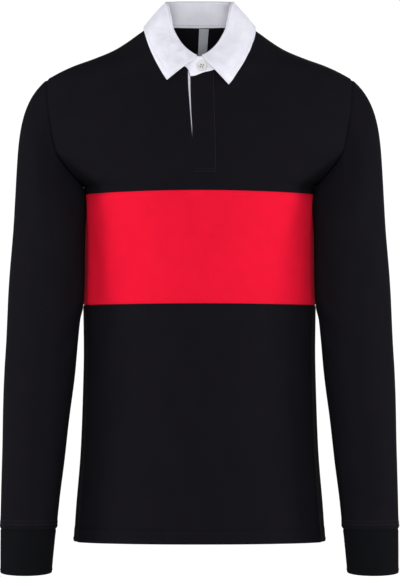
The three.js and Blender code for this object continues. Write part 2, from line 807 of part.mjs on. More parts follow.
// Button: a dished disc with a raised rim and four holes, its back on the collar stand
function buttonGeometry() {
  const radius = BUTTON_DIAMETER / 2;
  const dish = BUTTON_THICKNESS - 1;
  const profile = [
    [0, 0],
    [radius - 1, 0],
    [radius, 0.9],
    [radius - 0.4, BUTTON_THICKNESS - 0.4],
    [radius - 1.4, BUTTON_THICKNESS],
    [radius - 2.6, dish],
    [0, dish],
  ];
  const disc = new THREE.LatheGeometry(profile.map(([r, h]) => new THREE.Vector2(r, h)), 32);
  const { radius: bore, place } = BUTTON_HOLE;
  let solid = toSolid(disc);
  for (const [x, z] of [[1, 1], [1, -1], [-1, 1], [-1, -1]]) {
    const hole = new THREE.CylinderGeometry(bore, bore, 2 * BUTTON_THICKNESS, 10);
    hole.translate(x * place, 0, z * place);
    solid = solid.subtract(toSolid(hole));
  }
  return fromSolid(solid);
}

function buttonPlace() {
  const { turn, share, wide, spread, away } = BUTTON_SEAT;
  const seat = standPoint(turn, share);
  const along = unitOf(standPoint(turn - wide, share), standPoint(turn + wide, share));
  const rise = unitOf(standPoint(turn, share - spread), standPoint(turn, share + spread));
  const normal = along.cross(rise).normalize();
  if (normal.y > 0) {
    normal.negate();
  }
  return { at: moved(seat, normal, away), normal };
}

// The neck tape hangs inside the back, a little askew
function neckLabel() {
  const surface = evenSteps(LABEL.bottom, LABEL.top, LABEL_ROWS).map((drop) => (
    LABEL.columns.map((column) => {
      const x = column - LABEL.lean * (drop - LABEL.top);
      return new THREE.Vector3(x, bodyY(1, x, drop), -drop);
    })
  ));
  const depth = CLOTH + LABEL.gap;
  return clothWall(liftedGrid(surface, -depth), liftedGrid(surface, -depth - LABEL.thickness));
}

const shirt = new THREE.Group();

function add(name, geometry, look) {
  const mesh = new THREE.Mesh(geometry, new THREE.MeshStandardMaterial({ ...look, metalness: 0 }));
  mesh.name = name;
  shirt.add(mesh);
  return mesh;
}

add('front_chest', frontChest(), BLACK_JERSEY);
add('back_chest', backChest(), BLACK_JERSEY);
add('front_band', bandPanel(-1), RED_JERSEY);
add('back_band', bandPanel(1), RED_JERSEY);
add('front_lower', lowerPanel(-1), BLACK_JERSEY);
add('back_lower', lowerPanel(1), BLACK_JERSEY);
for (const [name, side] of [['left', 1], ['right', -1]]) {
  add(`sleeve_${name}`, tube(sleeveGrids(), side), BLACK_JERSEY);
  add(`cuff_${name}`, tube(cuffGrids(), side), BLACK_JERSEY);
}
const stand = standGrids();
add('collar_stand', clothWall(stand.outer, stand.inner), WHITE_TWILL);
const leafSheet = leafGrids();
add('collar_leaf', clothWall(leafSheet.outer, leafSheet.inner), WHITE_TWILL);
add('placket_over', placketOver(), BLACK_JERSEY);
add('placket_under', placketUnder(), WHITE_TWILL);
add('neck_label', neckLabel(), GREY_TAPE);

const button = add('button_neck', buttonGeometry(), BUTTON_RESIN);
const { at: buttonSeat, normal: buttonAxis } = buttonPlace();
button.position.copy(buttonSeat);
button.quaternion.setFromUnitVectors(new THREE.Vector3(0, 1, 0), buttonAxis);

export default shirt;
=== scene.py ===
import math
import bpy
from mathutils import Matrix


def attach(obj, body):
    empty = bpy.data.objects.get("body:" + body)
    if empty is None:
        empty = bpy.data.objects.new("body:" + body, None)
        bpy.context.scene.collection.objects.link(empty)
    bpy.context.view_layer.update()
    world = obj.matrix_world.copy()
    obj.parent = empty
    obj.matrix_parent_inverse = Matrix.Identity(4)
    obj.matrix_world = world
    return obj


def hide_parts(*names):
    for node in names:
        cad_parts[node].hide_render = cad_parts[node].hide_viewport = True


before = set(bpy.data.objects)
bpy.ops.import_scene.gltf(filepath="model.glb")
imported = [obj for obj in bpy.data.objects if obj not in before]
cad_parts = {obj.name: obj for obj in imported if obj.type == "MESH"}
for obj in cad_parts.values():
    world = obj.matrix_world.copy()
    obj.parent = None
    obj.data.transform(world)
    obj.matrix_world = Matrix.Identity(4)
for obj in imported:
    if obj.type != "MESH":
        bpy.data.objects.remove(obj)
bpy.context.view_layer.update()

# Rugby shirt in its worn shape: fine cloth shells on the form of the CAD pieces.
# Tables and lengths are in millimetres, and each mesh is made in metres.
# The front faces -Y. "Drop" is the distance below the origin, and a turn is in degrees.
from types import SimpleNamespace

import bmesh
import bpy
import numpy as np
from mathutils import Matrix, Vector

MM = 0.001

# Driving dimensions: as in the CAD, but for a higher neckline and a hem 0.4 lower
NECK_HALF_WIDTH = 60
NECK_DROP_FRONT = 82
NECK_DROP_BACK = 8.6
NECK_LAP_TILT = 0.2
NECK_LAP_REACH = 40
NECK_LAP_LIFT = 4.4
NECK_SIDE_LIFT = 9.5
SHOULDER_HALF_WIDTH = 212
SHOULDER_DROP = 83.4
UNDERARM_DROP = 232
BAND_TOP_DROP = 243.3
BAND_TOP_ARCH = 4.7
BAND_BOTTOM_DROP = 396
BAND_BOTTOM_ARCH = 2.6
HEM_DROP = 723.2
CREST_POWER = 0.48
SLEEVE_CAP_DROP = 300
SLEEVE_END_DROP = 704.4
CUFF_END_DROP = 764.5
CUFF_RIM_TILT = 3.2
UNDERARM_TURN = 212
PLACKET_TOP_DROP = 60
PLACKET_BOTTOM_DROP = 215.3
PLACKET_BOX_DROP = 209.6
PLACKET_GAP = 0.3
BUTTON_DIAMETER = 14.5
BUTTON_THICKNESS = 2.8
BUTTON_HOLE_REACH = 2.2
BUTTON_HOLE_TURNS = (30, 120, 210, 300)
BUTTON_TURN = 356.7
BUTTON_LEVEL = 0.4

# Cloth thickness and sewing
JERSEY = 1.3
DOUBLE_JERSEY = 2.2
RIB = 2.2
TWILL = 1.7
CORNER_FULLNESS = 5
SEAM_DIP = 0.9
SEAM_WIDTH = 1.7
HEM_WIDTH = 20
HEM_STITCH = 18.8
SLEEVE_TURN_UP = 14
SLEEVE_STITCHES = (6.7, 11.4)
PLACKET_STITCHES = (PLACKET_BOX_DROP, 213.2)
STITCH = 2.9
FINE_STITCH = 2.4
THREAD = 0.3
SHARP = math.radians(50)

# Studio: lamps as name, place and size in metres, and brightness
WORLD_BAND = 0.12
WORLD_DIM = 0.06
WORLD_FRONT = 0.55
WORLD_BACK = 0.42
FLOOR_SIZE = 12
FLOOR_LEVEL = -1.1
LAMP_AIM = -0.38
SOFTBOXES = (
    ("front", (0, -5.6, -0.1), 1.4, 0.43),
    ("front_left", (-3.1, -4.3, 0.5), 1.4, 0.075),
    ("front_right", (3.1, -4.3, 0.5), 1.4, 0.075),
    ("left", (-3.9, -0.34, 0.0), 0.8, 0.52),
    ("right", (3.9, -0.34, 0.0), 0.8, 0.52),
    ("top", (0, -1.0, 3.0), 1.6, 0.24),
    ("behind", (0.5, 4.6, 1.4), 2.4, 0.30),
)

# How finely the cloth is divided
NECK_COLUMNS = 34
SIDE_COLUMNS = 62
ARMHOLE_ROWS = 84
BAND_ROWS = 56
LOWER_ROWS = 100
CAP_ROWS = 56
SLEEVE_ROWS = 110
FINE_ROWS = 25
FINE_PITCH = 0.9
CUFF_ROWS = 50
CHEST_LOW_ROWS = 4
STAND_ROWS = 24
STAND_COLUMNS = 219
LEAF_COLUMNS = 118
STRIP_ROWS = 110
STRIP_COLUMNS = 22


def table(names, rows):
    columns = np.array(rows, float).T
    return dict(zip(names.split(), columns))


def curve(rows, along, column):
    """A smooth curve through one column of a table, which never swings past its rows."""
    t, v = rows[along], rows[column]
    rise = np.diff(v) / np.diff(t)
    product, total = rise[:-1] * rise[1:], rise[:-1] + rise[1:]
    inner = np.where(product > 0, 2 * product / np.where(total == 0, 1, total), 0)
    slope = np.concatenate([rise[:1], inner, rise[-1:]])

    def at(where):
        where = np.clip(where, t[0], t[-1])
        i = np.clip(np.searchsorted(t, where, side="right") - 1, 0, len(t) - 2)
        span = t[i + 1] - t[i]
        s = (where - t[i]) / span
        keep = (1 + 2 * s) * (1 - s) ** 2 * v[i] + s * s * (3 - 2 * s) * v[i + 1]
        return keep + span * (s * (1 - s) ** 2 * slope[i] - s * s * (1 - s) * slope[i + 1])

    return at


def curves(rows, along):
    return SimpleNamespace(**{name: curve(rows, along, name) for name in rows if name != along})


# Half girths of the body: the full half width, where the armhole cuts it, and the depth each way
body = curves(table("drop half_width edge front back power", [
    (0, 60, 212, 60, 56, 1.36),
    (6, 68.5, 212, 62, 57.5, 1.37),
    (13.6, 77, 212, 63.5, 59.5, 1.38),
    (20, 86, 212, 65, 62, 1.39),
    (30.8, 101, 212, 67, 66, 1.43),
    (41.7, 118.8, 212, 69.5, 70, 1.47),
    (52.8, 145, 212, 72.5, 74, 1.53),
    (64, 175.8, 212, 75.5, 78, 1.62),
    (75, 199, 212, 78, 82.5, 1.7),
    (83.4, 212, 212, 80.5, 86, 1.76),
    (105, 226, 211, 91, 95, 1.88),
    (140, 240, 207, 107, 107, 2.0),
    (181, 235, 200, 119, 115, 2.05),
    (205, 205, 185, 123, 117, 2.15),
    (222, 178, 170, 125, 118, 2.35),
    (232, 160.5, 160.5, 126, 118, 2.5),
    (245, 161.4, 161.4, 125.5, 117, 2.5),
    (267, 160.4, 160.4, 124, 114, 2.45),
    (306, 159.7, 159.7, 121, 108, 2.35),
    (347, 160.3, 160.3, 118, 103, 2.3),
    (396, 161.3, 161.3, 115, 98, 2.25),
    (459, 160.7, 160.7, 112, 93, 2.2),
    (528, 162.2, 162.2, 111, 94, 2.2),
    (598, 165, 165, 112, 100, 2.2),
    (681, 171.7, 171.7, 112, 106, 2.2),
    (722.8, 174.4, 174.4, 112, 108, 2.2),
]), "drop")

# Sleeve girths below the cap: side limits, the place of the middle front to back, and the depth
sleeve = curves(table("drop inner outer middle depth", [
    (300, 158, 258.3, -36, 116),
    (345, 158.4, 262.2, -37, 114),
    (385, 159.6, 264.6, -38, 112),
    (400, 161, 265.2, -38, 111),
    (416, 164.6, 266, -38, 110),
    (440, 167, 267.2, -38.5, 108),
    (485, 171.2, 269.7, -40, 104),
    (545, 178.8, 271.6, -42, 99),
    (605, 185.6, 272.8, -44, 93),
    (660, 192.8, 274.1, -46, 86),
    (704.2, 196.9, 275.4, -48, 80),
]), "drop")

cuff = curves(table("drop inner outer middle depth", [
    (704.6, 197.9, 274.6, -48, 77),
    (735, 201, 274.9, -48.5, 74),
    (764.5, 203.9, 275, -49, 72),
]), "drop")

# Top of the collar stand by turn, in degrees from the front middle round to the back middle
fold = curves(table("turn x y drop", [
    (0, 0, -72.5, 54.4),
    (7.7, 6.2, -72, 52.8),
    (18.5, 14.9, -69, 47.4),
    (31, 25.3, -64, 37.8),
    (41.8, 32.7, -58, 27.1),
    (52.3, 38.3, -49.5, 15.4),
    (60, 41, -41.5, 2.4),
    (67.7, 43, -33.5, -8),
    (77, 45.2, -21.5, -17.5),
    (92, 47, -3, -22.8),
    (107, 45.5, 15, -23.8),
    (127, 39, 32, -24.8),
    (147, 27.5, 43.5, -25.8),
    (164, 14, 49.5, -26.4),
    (180, 0, 51.5, -26.6),
]), "turn")

# Outer edge of the collar leaf, whose two points hang unevenly, and how far it bows off the stand
leaf = curves(table("turn right_x right_drop left_x left_drop bow", [
    (1.2, 44.1, 86.7, 39.5, 93.1, 5.5),
    (8, 47.5, 81.5, 44.5, 87, 5),
    (18, 51.5, 75, 50, 78, 4.2),
    (30, 56.5, 66, 56, 69, 3.2),
    (41, 60.8, 58, 61, 60.8, 2.5),
    (52, 65, 49, 65.5, 52, 2),
    (60, 67.8, 42, 69.2, 44, 1.8),
    (68, 70.2, 35, 72, 35.5, 1.5),
    (77, 72.8, 26, 74.9, 26.5, 1.2),
    (92, 76.3, 13, 76.6, 13.2, 1),
    (107, 74, 16.5, 74, 16.5, 1.5),
    (122, 66, 19, 66, 19, 2.5),
    (137, 54, 21.5, 54, 21.5, 3),
    (150, 41, 23, 41, 23, 3),
    (165, 21.5, 24.3, 21.5, 24.3, 3),
    (180, 0, 25, 0, 25, 3),
]), "turn")

placket = curves(table("drop slit_left over_left right", [
    (60, -16.3, -12.6, 20.6),
    (81.6, -16, -12.7, 20.7),
    (130, -12.9, -11.4, 21.9),
    (154, -10.9, -10.0, 22.4),
    (172, -9.6, -9.7, 22.8),
    (PLACKET_BOTTOM_DROP, -7.2, -7.5, 23.9),
]), "drop")

# Soft folds of the body: both ends as x and drop, then half width and height (a trough is negative)
FRONT_FOLDS = [
    (-135, 286, -127, 398, 13, 1.7),
    (-148, 292, -144, 410, 8, -1.2),
    (136, 280, 130, 404, 12, 1.5),
    (149, 300, 145, 396, 8, -1.1),
    (-113, 420, -146, 505, 14, 1.7),
    (-92, 444, -132, 548, 15, -1.3),
    (116, 428, 143, 492, 13, 1.5),
    (95, 436, 134, 560, 16, -1.4),
    (-58, 408, -84, 470, 16, 0.9),
    (62, 404, 90, 486, 17, 0.9),
    (-112, 575, -126, 722, 17, 1.6),
    (-55, 590, -48, 722, 22, -1.3),
    (14, 560, 6, 722, 30, -1.6),
    (82, 600, 93, 722, 20, 1.4),
    (131, 590, 139, 722, 12, -1.2),
    (-150, 236, -104, 196, 11, 1.3),
    (-138, 214, -84, 150, 14, -1.1),
    (150, 238, 108, 199, 12, 1.2),
    (136, 212, 88, 160, 13, -1.0),
    (-96, 58, -176, 104, 13, -0.9),
    (98, 60, 170, 100, 14, -0.8),
    (-52, 108, -66, 168, 12, 0.7),
    (57, 116, 70, 172, 12, 0.6),
    (-6, 218, -26, 246, 9, -0.7),
    (22, 220, 44, 250, 9, -0.6),
]
BACK_FOLDS = [
    (-118, 150, -62, 330, 18, 1.7),
    (-86, 170, -36, 372, 15, -1.5),
    (120, 160, 66, 318, 17, 1.6),
    (90, 176, 40, 388, 16, -1.4),
    (-140, 300, -96, 428, 13, 1.6),
    (142, 310, 98, 446, 14, 1.5),
    (-126, 350, -60, 470, 12, -1.3),
    (128, 356, 64, 462, 12, -1.2),
    (-30, 420, -36, 560, 20, 1.3),
    (34, 430, 30, 548, 19, 1.2),
    (-118, 520, -128, 722, 18, 1.7),
    (-66, 560, -60, 722, 20, -1.5),
    (4, 580, 8, 722, 24, 1.4),
    (70, 556, 76, 722, 19, -1.5),
    (124, 530, 134, 722, 17, 1.6),
    (-60, 30, -150, 92, 14, -0.9),
    (60, 30, 148, 90, 14, -0.9),
]
# Soft folds of a sleeve: both ends as turn and drop, then half width and height
LEFT_FOLDS = [
    (30, 250, 52, 420, 13, 1.2),
    (62, 268, 84, 452, 12, -1.1),
    (95, 352, 118, 520, 11, 1.0),
    (148, 300, 122, 372, 9, -1.0),
    (160, 372, 104, 430, 8, 1.2),
    (168, 392, 116, 452, 7, -1.3),
    (172, 428, 120, 474, 8, 1.2),
    (40, 500, 58, 640, 13, 1.0),
    (80, 540, 92, 676, 11, -0.9),
    (130, 560, 150, 690, 10, 0.9),
    (20, 668, 96, 678, 6, 1.0),
    (100, 684, 168, 676, 5, 0.9),
    (200, 676, 268, 684, 6, 1.1),
    (290, 684, 352, 674, 6, 0.9),
    (232, 250, 258, 400, 14, 1.4),
    (278, 240, 300, 420, 14, -1.2),
    (240, 430, 306, 462, 8, -1.3),
    (230, 452, 300, 490, 8, 1.3),
    (318, 460, 330, 640, 14, 1.0),
    (264, 540, 278, 660, 12, -1.0),
]
RIGHT_FOLDS = [
    (34, 262, 56, 440, 12, 1.1),
    (66, 280, 80, 430, 12, -1.0),
    (98, 340, 112, 500, 11, 1.0),
    (152, 304, 126, 380, 9, -1.0),
    (164, 380, 110, 424, 8, 1.1),
    (170, 400, 112, 466, 7, -1.2),
    (168, 440, 124, 480, 8, 1.1),
    (36, 520, 50, 650, 13, 1.1),
    (84, 530, 98, 660, 11, -0.9),
    (126, 580, 140, 690, 10, 0.9),
    (14, 674, 84, 682, 6, 0.9),
    (110, 680, 176, 670, 5, 1.0),
    (208, 682, 280, 674, 6, 1.0),
    (296, 676, 350, 686, 6, 1.0),
    (236, 260, 262, 410, 14, 1.3),
    (282, 250, 304, 430, 14, -1.2),
    (244, 440, 300, 452, 8, -1.2),
    (234, 462, 306, 482, 8, 1.2),
    (322, 450, 334, 620, 14, 1.0),
    (268, 556, 274, 668, 12, -1.0),
]
# Soft dents of the collar leaf: turn, share of the way down, reach of both, and height
LEAF_DENTS = [
    (14, 0.52, 5, 0.16, -0.8),
    (24, 0.36, 5, 0.20, 0.8),
    (30, 0.62, 4, 0.22, -0.9),
    (38, 0.45, 5, 0.25, 0.6),
    (46, 0.70, 6, 0.20, 0.5),
    (56, 0.40, 7, 0.22, -0.6),
    (74, 0.60, 8, 0.24, 0.6),
    (108, 0.55, 10, 0.22, -0.7),
    (140, 0.50, 12, 0.25, 0.7),
    (176, 0.60, 14, 0.22, -0.6),
    (214, 0.50, 12, 0.22, 0.7),
    (246, 0.55, 10, 0.24, -0.6),
    (284, 0.60, 8, 0.22, 0.5),
    (302, 0.42, 7, 0.24, -0.7),
    (314, 0.66, 5, 0.20, 0.6),
    (324, 0.40, 4, 0.22, -0.8),
    (332, 0.60, 5, 0.22, 0.8),
    (342, 0.45, 4, 0.18, -0.9),
    (350, 0.62, 4, 0.20, 0.5),
]


def mix(a, b, t):
    return a + (b - a) * t


def smooth_step(t):
    s = np.clip(t, 0, 1)
    return s * s * (3 - 2 * s)


def bell(distance, width):
    return np.exp(-(distance / width) ** 2)


def unit(v):
    return v / np.maximum(np.linalg.norm(v, axis=-1, keepdims=True), 1e-12)


def point(x, y, z):
    return np.stack(np.broadcast_arrays(*np.atleast_1d(x, y, z)), axis=-1).astype(float)


# Body surface. The front is side -1 and the back is side 1, as y is signed.
def body_y(side, x, drop):
    share = np.minimum((np.abs(x) / body.half_width(drop)) ** body.power(drop), 1)
    depth = np.where(side < 0, body.front(drop), body.back(drop))
    return side * depth * (1 - share) ** CREST_POWER


def edge_x(drop):
    return np.where(drop >= UNDERARM_DROP, body.half_width(drop), body.edge(drop))


def body_level(p):
    """Zero on the body surface, growing outwards."""
    drop = -p[..., 2]
    depth = np.where(p[..., 1] < 0, body.front(drop), body.back(drop))
    across = (np.abs(p[..., 0]) / body.half_width(drop)) ** body.power(drop)
    return across + (np.abs(p[..., 1]) / depth) ** (1 / CREST_POWER) - 1


def body_normal(p):
    step = 0.5
    slope = [body_level(p + step * e) - body_level(p - step * e) for e in np.eye(3)]
    return unit(np.stack(slope, axis=-1))


def neck_drop(side, x):
    share = np.minimum(np.abs(x) / NECK_HALF_WIDTH, 1)
    back = NECK_DROP_BACK * (1 - share ** 2.4) ** 0.8
    reach = np.maximum(1 - (x / NECK_LAP_REACH) ** 2, 0)
    front = NECK_DROP_FRONT * (1 - share ** 2.1) ** 0.78 - NECK_LAP_TILT * x * reach ** 2
    lap = NECK_LAP_LIFT * bell(x - 5, 13)
    beside = NECK_SIDE_LIFT * smooth_step((-12.5 - x) / 5) * smooth_step((x + 36) / 14)
    return np.where(side > 0, back, front - lap - beside)


def shoulder_drop(x):
    """The shoulder seam drops as it runs outwards: the drop at which the body is as wide as x."""
    low, high = np.zeros_like(x), np.full_like(x, SHOULDER_DROP)
    for _ in range(40):
        middle = (low + high) / 2
        wide = body.half_width(middle) >= x
        low, high = np.where(wide, low, middle), np.where(wide, middle, high)
    return high


def top_drop(side, share):
    x = np.abs(share * SHOULDER_HALF_WIDTH)
    in_neck = x < NECK_HALF_WIDTH - 0.01
    return np.where(in_neck, neck_drop(side, share * SHOULDER_HALF_WIDTH), shoulder_drop(x))


def column_shares():
    """Columns run from the wearer's right edge to the left edge, as shares of the half width."""
    neck = NECK_HALF_WIDTH / SHOULDER_HALF_WIDTH
    near = neck * np.sin(np.linspace(0, math.pi / 2, NECK_COLUMNS + 1))
    far = np.sin(np.linspace(math.asin(neck), math.pi / 2, SIDE_COLUMNS + 1))[1:]
    half = np.concatenate([near, far])
    return np.concatenate([-half[:0:-1], half])


SHARES = column_shares()


def band_top(side, share):
    return BAND_TOP_DROP - (BAND_TOP_ARCH * (1 - share * share) if side < 0 else 0 * share)


def band_bottom(side, share):
    return BAND_BOTTOM_DROP - (BAND_BOTTOM_ARCH * (1 - share * share) if side < 0 else 0 * share)


def chest_drops(side, share):
    """Drops of the chest's columns, from the band seam up to the neckline or the shoulder seam."""
    under = np.full_like(share, UNDERARM_DROP)
    low = np.linspace(band_top(side, share), under, CHEST_LOW_ROWS + 1)[:-1]
    steps = (1 - np.cos(np.linspace(0, math.pi, ARMHOLE_ROWS + 1))) / 2
    return np.concatenate([low, mix(UNDERARM_DROP, top_drop(side, share), steps[:, None])])


def closing_drops(far, end, rows):
    """Drops down to the sewn end of a panel or a sleeve, close together over the last stretch."""
    near = end - FINE_ROWS * FINE_PITCH + 0 * far
    close = np.linspace(near, end + 0 * far, FINE_ROWS + 1)[1:]
    return np.concatenate([np.linspace(far, near, rows + 1), close])


def fold_height(x, drop, folds, to_mm=1.0, wrap=0.0):
    """The sum of soft ridges and troughs, each strongest in its middle and fading to its ends."""
    height = np.zeros(np.broadcast(x, drop).shape)
    for x0, drop0, x1, drop1, width, top in folds:
        run = np.array([(x1 - x0) * to_mm, drop1 - drop0])
        length = np.hypot(*run)
        dx = (x - x0) * to_mm
        if wrap:
            dx = ((x - x0 + wrap / 2) % wrap - wrap / 2) * to_mm
        dz = drop - drop0
        along = (dx * run[0] + dz * run[1]) / length ** 2
        bend = 0.06 * length * np.sin(np.clip(along, 0, 1) * math.pi)
        across = (dx * run[1] - dz * run[0]) / length - bend
        ends = smooth_step((along + 0.12) / 0.4) * smooth_step((1.12 - along) / 0.4)
        height += top * ends * bell(across, width)
    return height


def cloth_ripple(a, b, size, height):
    """A faint uneven swell, so that no wide stretch of cloth is perfectly even."""
    swell = np.sin(a / size + 1.3 * np.sin(b / (1.7 * size) + 0.7)) * np.cos(b / (1.4 * size) + 0.4)
    return height * swell + 0.5 * height * np.sin(a / (0.53 * size) - b / (0.8 * size) + 2.1)


def seam_dip(distance, depth=SEAM_DIP):
    """A sewn seam draws the cloth in, and the cloth stands a little proud beside it."""
    puff = 0.3 * bell(distance - 2.6 * SEAM_WIDTH, 1.4 * SEAM_WIDTH)
    return depth * (puff - bell(distance, SEAM_WIDTH))


def arc_from(points, axis):
    """Distance run along one axis of a grid, from its first line."""
    steps = np.linalg.norm(np.diff(points, axis=axis), axis=-1)
    zero = np.zeros_like(np.take(steps, [0], axis=axis))
    return np.cumsum(np.concatenate([zero, steps], axis=axis), axis=axis)


def body_base(side, x, drop):
    return point(x, body_y(side, x, drop), -drop)


def body_height(side, x, drop):
    """How far the cloth lies off the plain body surface, without its seams."""
    folds = FRONT_FOLDS if side < 0 else BACK_FOLDS
    edge = smooth_step((edge_x(drop) - np.abs(x)) / 26)
    top = smooth_step((drop - top_drop(side, x / SHOULDER_HALF_WIDTH) - 4) / 30)
    ripple = cloth_ripple(x, drop, 34, 0.22)
    near = np.abs(x) / body.half_width(drop)
    full = smooth_step((near - 0.6) / 0.33) * smooth_step((0.978 - near) / 0.048)
    full = CORNER_FULLNESS * full * smooth_step((drop - 225) / 40)
    return full + (fold_height(x, drop, folds) + ripple) * edge * np.where(drop < 150, top, 1)


def body_panel(side, drops):
    """The outer face of a body panel, and its normals."""
    x = SHARES[None, :] * edge_x(drops)
    base = body_base(side, x, drops)
    normal = body_normal(base)
    across = arc_from(base, 1)
    side_gap = np.minimum(across, across[:, -1:] - across)
    height = body_height(side, x, drops) + seam_dip(side_gap)
    return base + normal * height[..., None], normal


def body_points(side, x, drop, lift):
    """Points that follow the body panel, moved out from it by lift."""
    base = body_base(side, x, drop)
    height = body_height(side, x, drop) + lift
    return base + body_normal(base) * height[..., None]


# Shells
def grid_normals(grid, round_about=False, turned_over=False):
    if round_about:
        across = np.roll(grid, -1, axis=1) - np.roll(grid, 1, axis=1)
    else:
        across = np.gradient(grid, axis=1)
    normal = unit(np.cross(across, np.gradient(grid, axis=0)))
    return -normal if turned_over else normal


def closed_section(outer, inner):
    """Rows of a cloth wall all the way round its section, with a rounded rim at both ends."""
    def rim(row, before):
        middle = (outer[row] + inner[row]) / 2
        away = unit(outer[row] - outer[before] + inner[row] - inner[before])
        reach = 0.38 * np.linalg.norm(outer[row] - inner[row], axis=-1, keepdims=True)
        return [
            mix(outer[row], middle, 0.3) + away * reach * 0.7,
            middle + away * reach,
            mix(inner[row], middle, 0.3) + away * reach * 0.7,
        ]
    top = rim(-1, -2)
    bottom = rim(0, 1)[::-1]
    return np.concatenate([outer, top, inner[::-1], bottom])


def shell(name, outer, inner, material, round_about=False):
    """A closed cloth wall between two grids of points, with its weave laid along the grid."""
    section = closed_section(outer, inner)
    rows, columns = section.shape[:2]
    index = np.arange(rows * columns).reshape(rows, columns)
    index = np.concatenate([index, index[:1]])
    u = arc_from(section, 1)
    v = arc_from(section, 0)
    v = np.concatenate([v, v[-1:] + 1])
    u = np.concatenate([u, u[:1]])
    if round_about:
        index = np.concatenate([index, index[:, :1]], axis=1)
        u = np.concatenate([u, u[:, -1:] + 2], axis=1)
        v = np.concatenate([v, v[:, :1]], axis=1)

    def cells(a):
        return np.stack([a[:-1, :-1], a[:-1, 1:], a[1:, 1:], a[1:, :-1]], axis=-1).reshape(-1, 4)

    faces = cells(index)
    uv = np.stack([cells(u), cells(v)], axis=-1) * MM
    if not round_about:
        count = len(outer)
        back = np.arange(count + 3, 2 * count + 3)[::-1]
        for column, turn in ((0, 1), (columns - 1, -1)):
            front = np.arange(count) * columns + column
            behind = back * columns + column
            strip = np.stack([front[:-1], front[1:], behind[1:], behind[:-1]], axis=-1)[:, ::turn]
            faces = np.concatenate([faces, strip])
            uv = np.concatenate([uv, np.zeros((len(strip), 4, 2))])
    return mesh_object(name, section.reshape(-1, 3), faces, uv, material)


def mesh_object(name, points, faces, uv, material):
    mesh = bpy.data.meshes.new(name)
    mesh.from_pydata((points * MM).tolist(), [], faces.tolist())
    if uv is not None:
        layer = mesh.uv_layers.new(name="cloth")
        layer.data.foreach_set("uv", uv.reshape(-1))
    mesh.validate()
    made = bpy.data.objects.new(name, mesh)
    bpy.context.scene.collection.objects.link(made)
    outwards(mesh)
    mesh.shade_smooth()
    mesh.set_sharp_from_angle(angle=SHARP)
    mesh.materials.append(material)
    return made


def plain_object(name, points, faces):
    mesh = bpy.data.meshes.new(name)
    mesh.from_pydata((points * MM).tolist(), [], faces)
    made = bpy.data.objects.new(name, mesh)
    bpy.context.scene.collection.objects.link(made)
    outwards(mesh)
    return made


def outwards(mesh):
    """Turns the faces of a closed mesh outwards."""
    fine = bmesh.new()
    fine.from_mesh(mesh)
    bmesh.ops.recalc_face_normals(fine, faces=fine.faces)
    if fine.calc_volume(signed=True) < 0:
        bmesh.ops.reverse_faces(fine, faces=fine.faces)
    fine.to_mesh(mesh)
    fine.free()


def cut_away(piece, cutter):
    """Takes the cutter's form out of a piece, and the cutter away."""
    change = piece.modifiers.new("cut", "BOOLEAN")
    change.operation = "DIFFERENCE"
    change.solver = "EXACT"
    change.object = cutter
    seen = piece.evaluated_get(bpy.context.evaluated_depsgraph_get())
    mesh = bpy.data.meshes.new_from_object(seen)
    piece.modifiers.clear()
    piece.data = mesh
    bpy.data.objects.remove(cutter, do_unlink=True)


# Materials
def new_material(name, roughness, shine):
    material = bpy.data.materials.new(name)
    material.use_nodes = True
    tree = material.node_tree
    shader = tree.nodes["Principled BSDF"]
    shader.inputs["Roughness"].default_value = roughness
    shader.inputs["Specular IOR Level"].default_value = shine
    return material, tree, shader


def add_node(tree, kind, sources, **values):
    """A node with other nodes' outputs on some of its sockets and plain values on others."""
    made = tree.nodes.new("ShaderNode" + kind)
    for socket, source in sources.items():
        tree.links.new(source, made.inputs[socket])
    for socket, value in values.items():
        made.inputs[socket].default_value = value
    return made


def tinted(tree, shader, space, scale, detail, colour, spread, ends=(0, 1)):
    """Colours the shader in soft patches, a little darker and lighter than its colour."""
    patches = add_node(tree, "TexNoise", {"Vector": space}, Scale=scale, Detail=detail)
    tint = add_node(tree, "ValToRGB", {"Fac": patches.outputs["Fac"]})
    for stop, position, share in zip(tint.color_ramp.elements, ends, (1 - spread, 1 + spread)):
        stop.position = position
        stop.color = (*[c * share for c in colour], 1)
    tree.links.new(tint.outputs["Color"], shader.inputs["Base Color"])


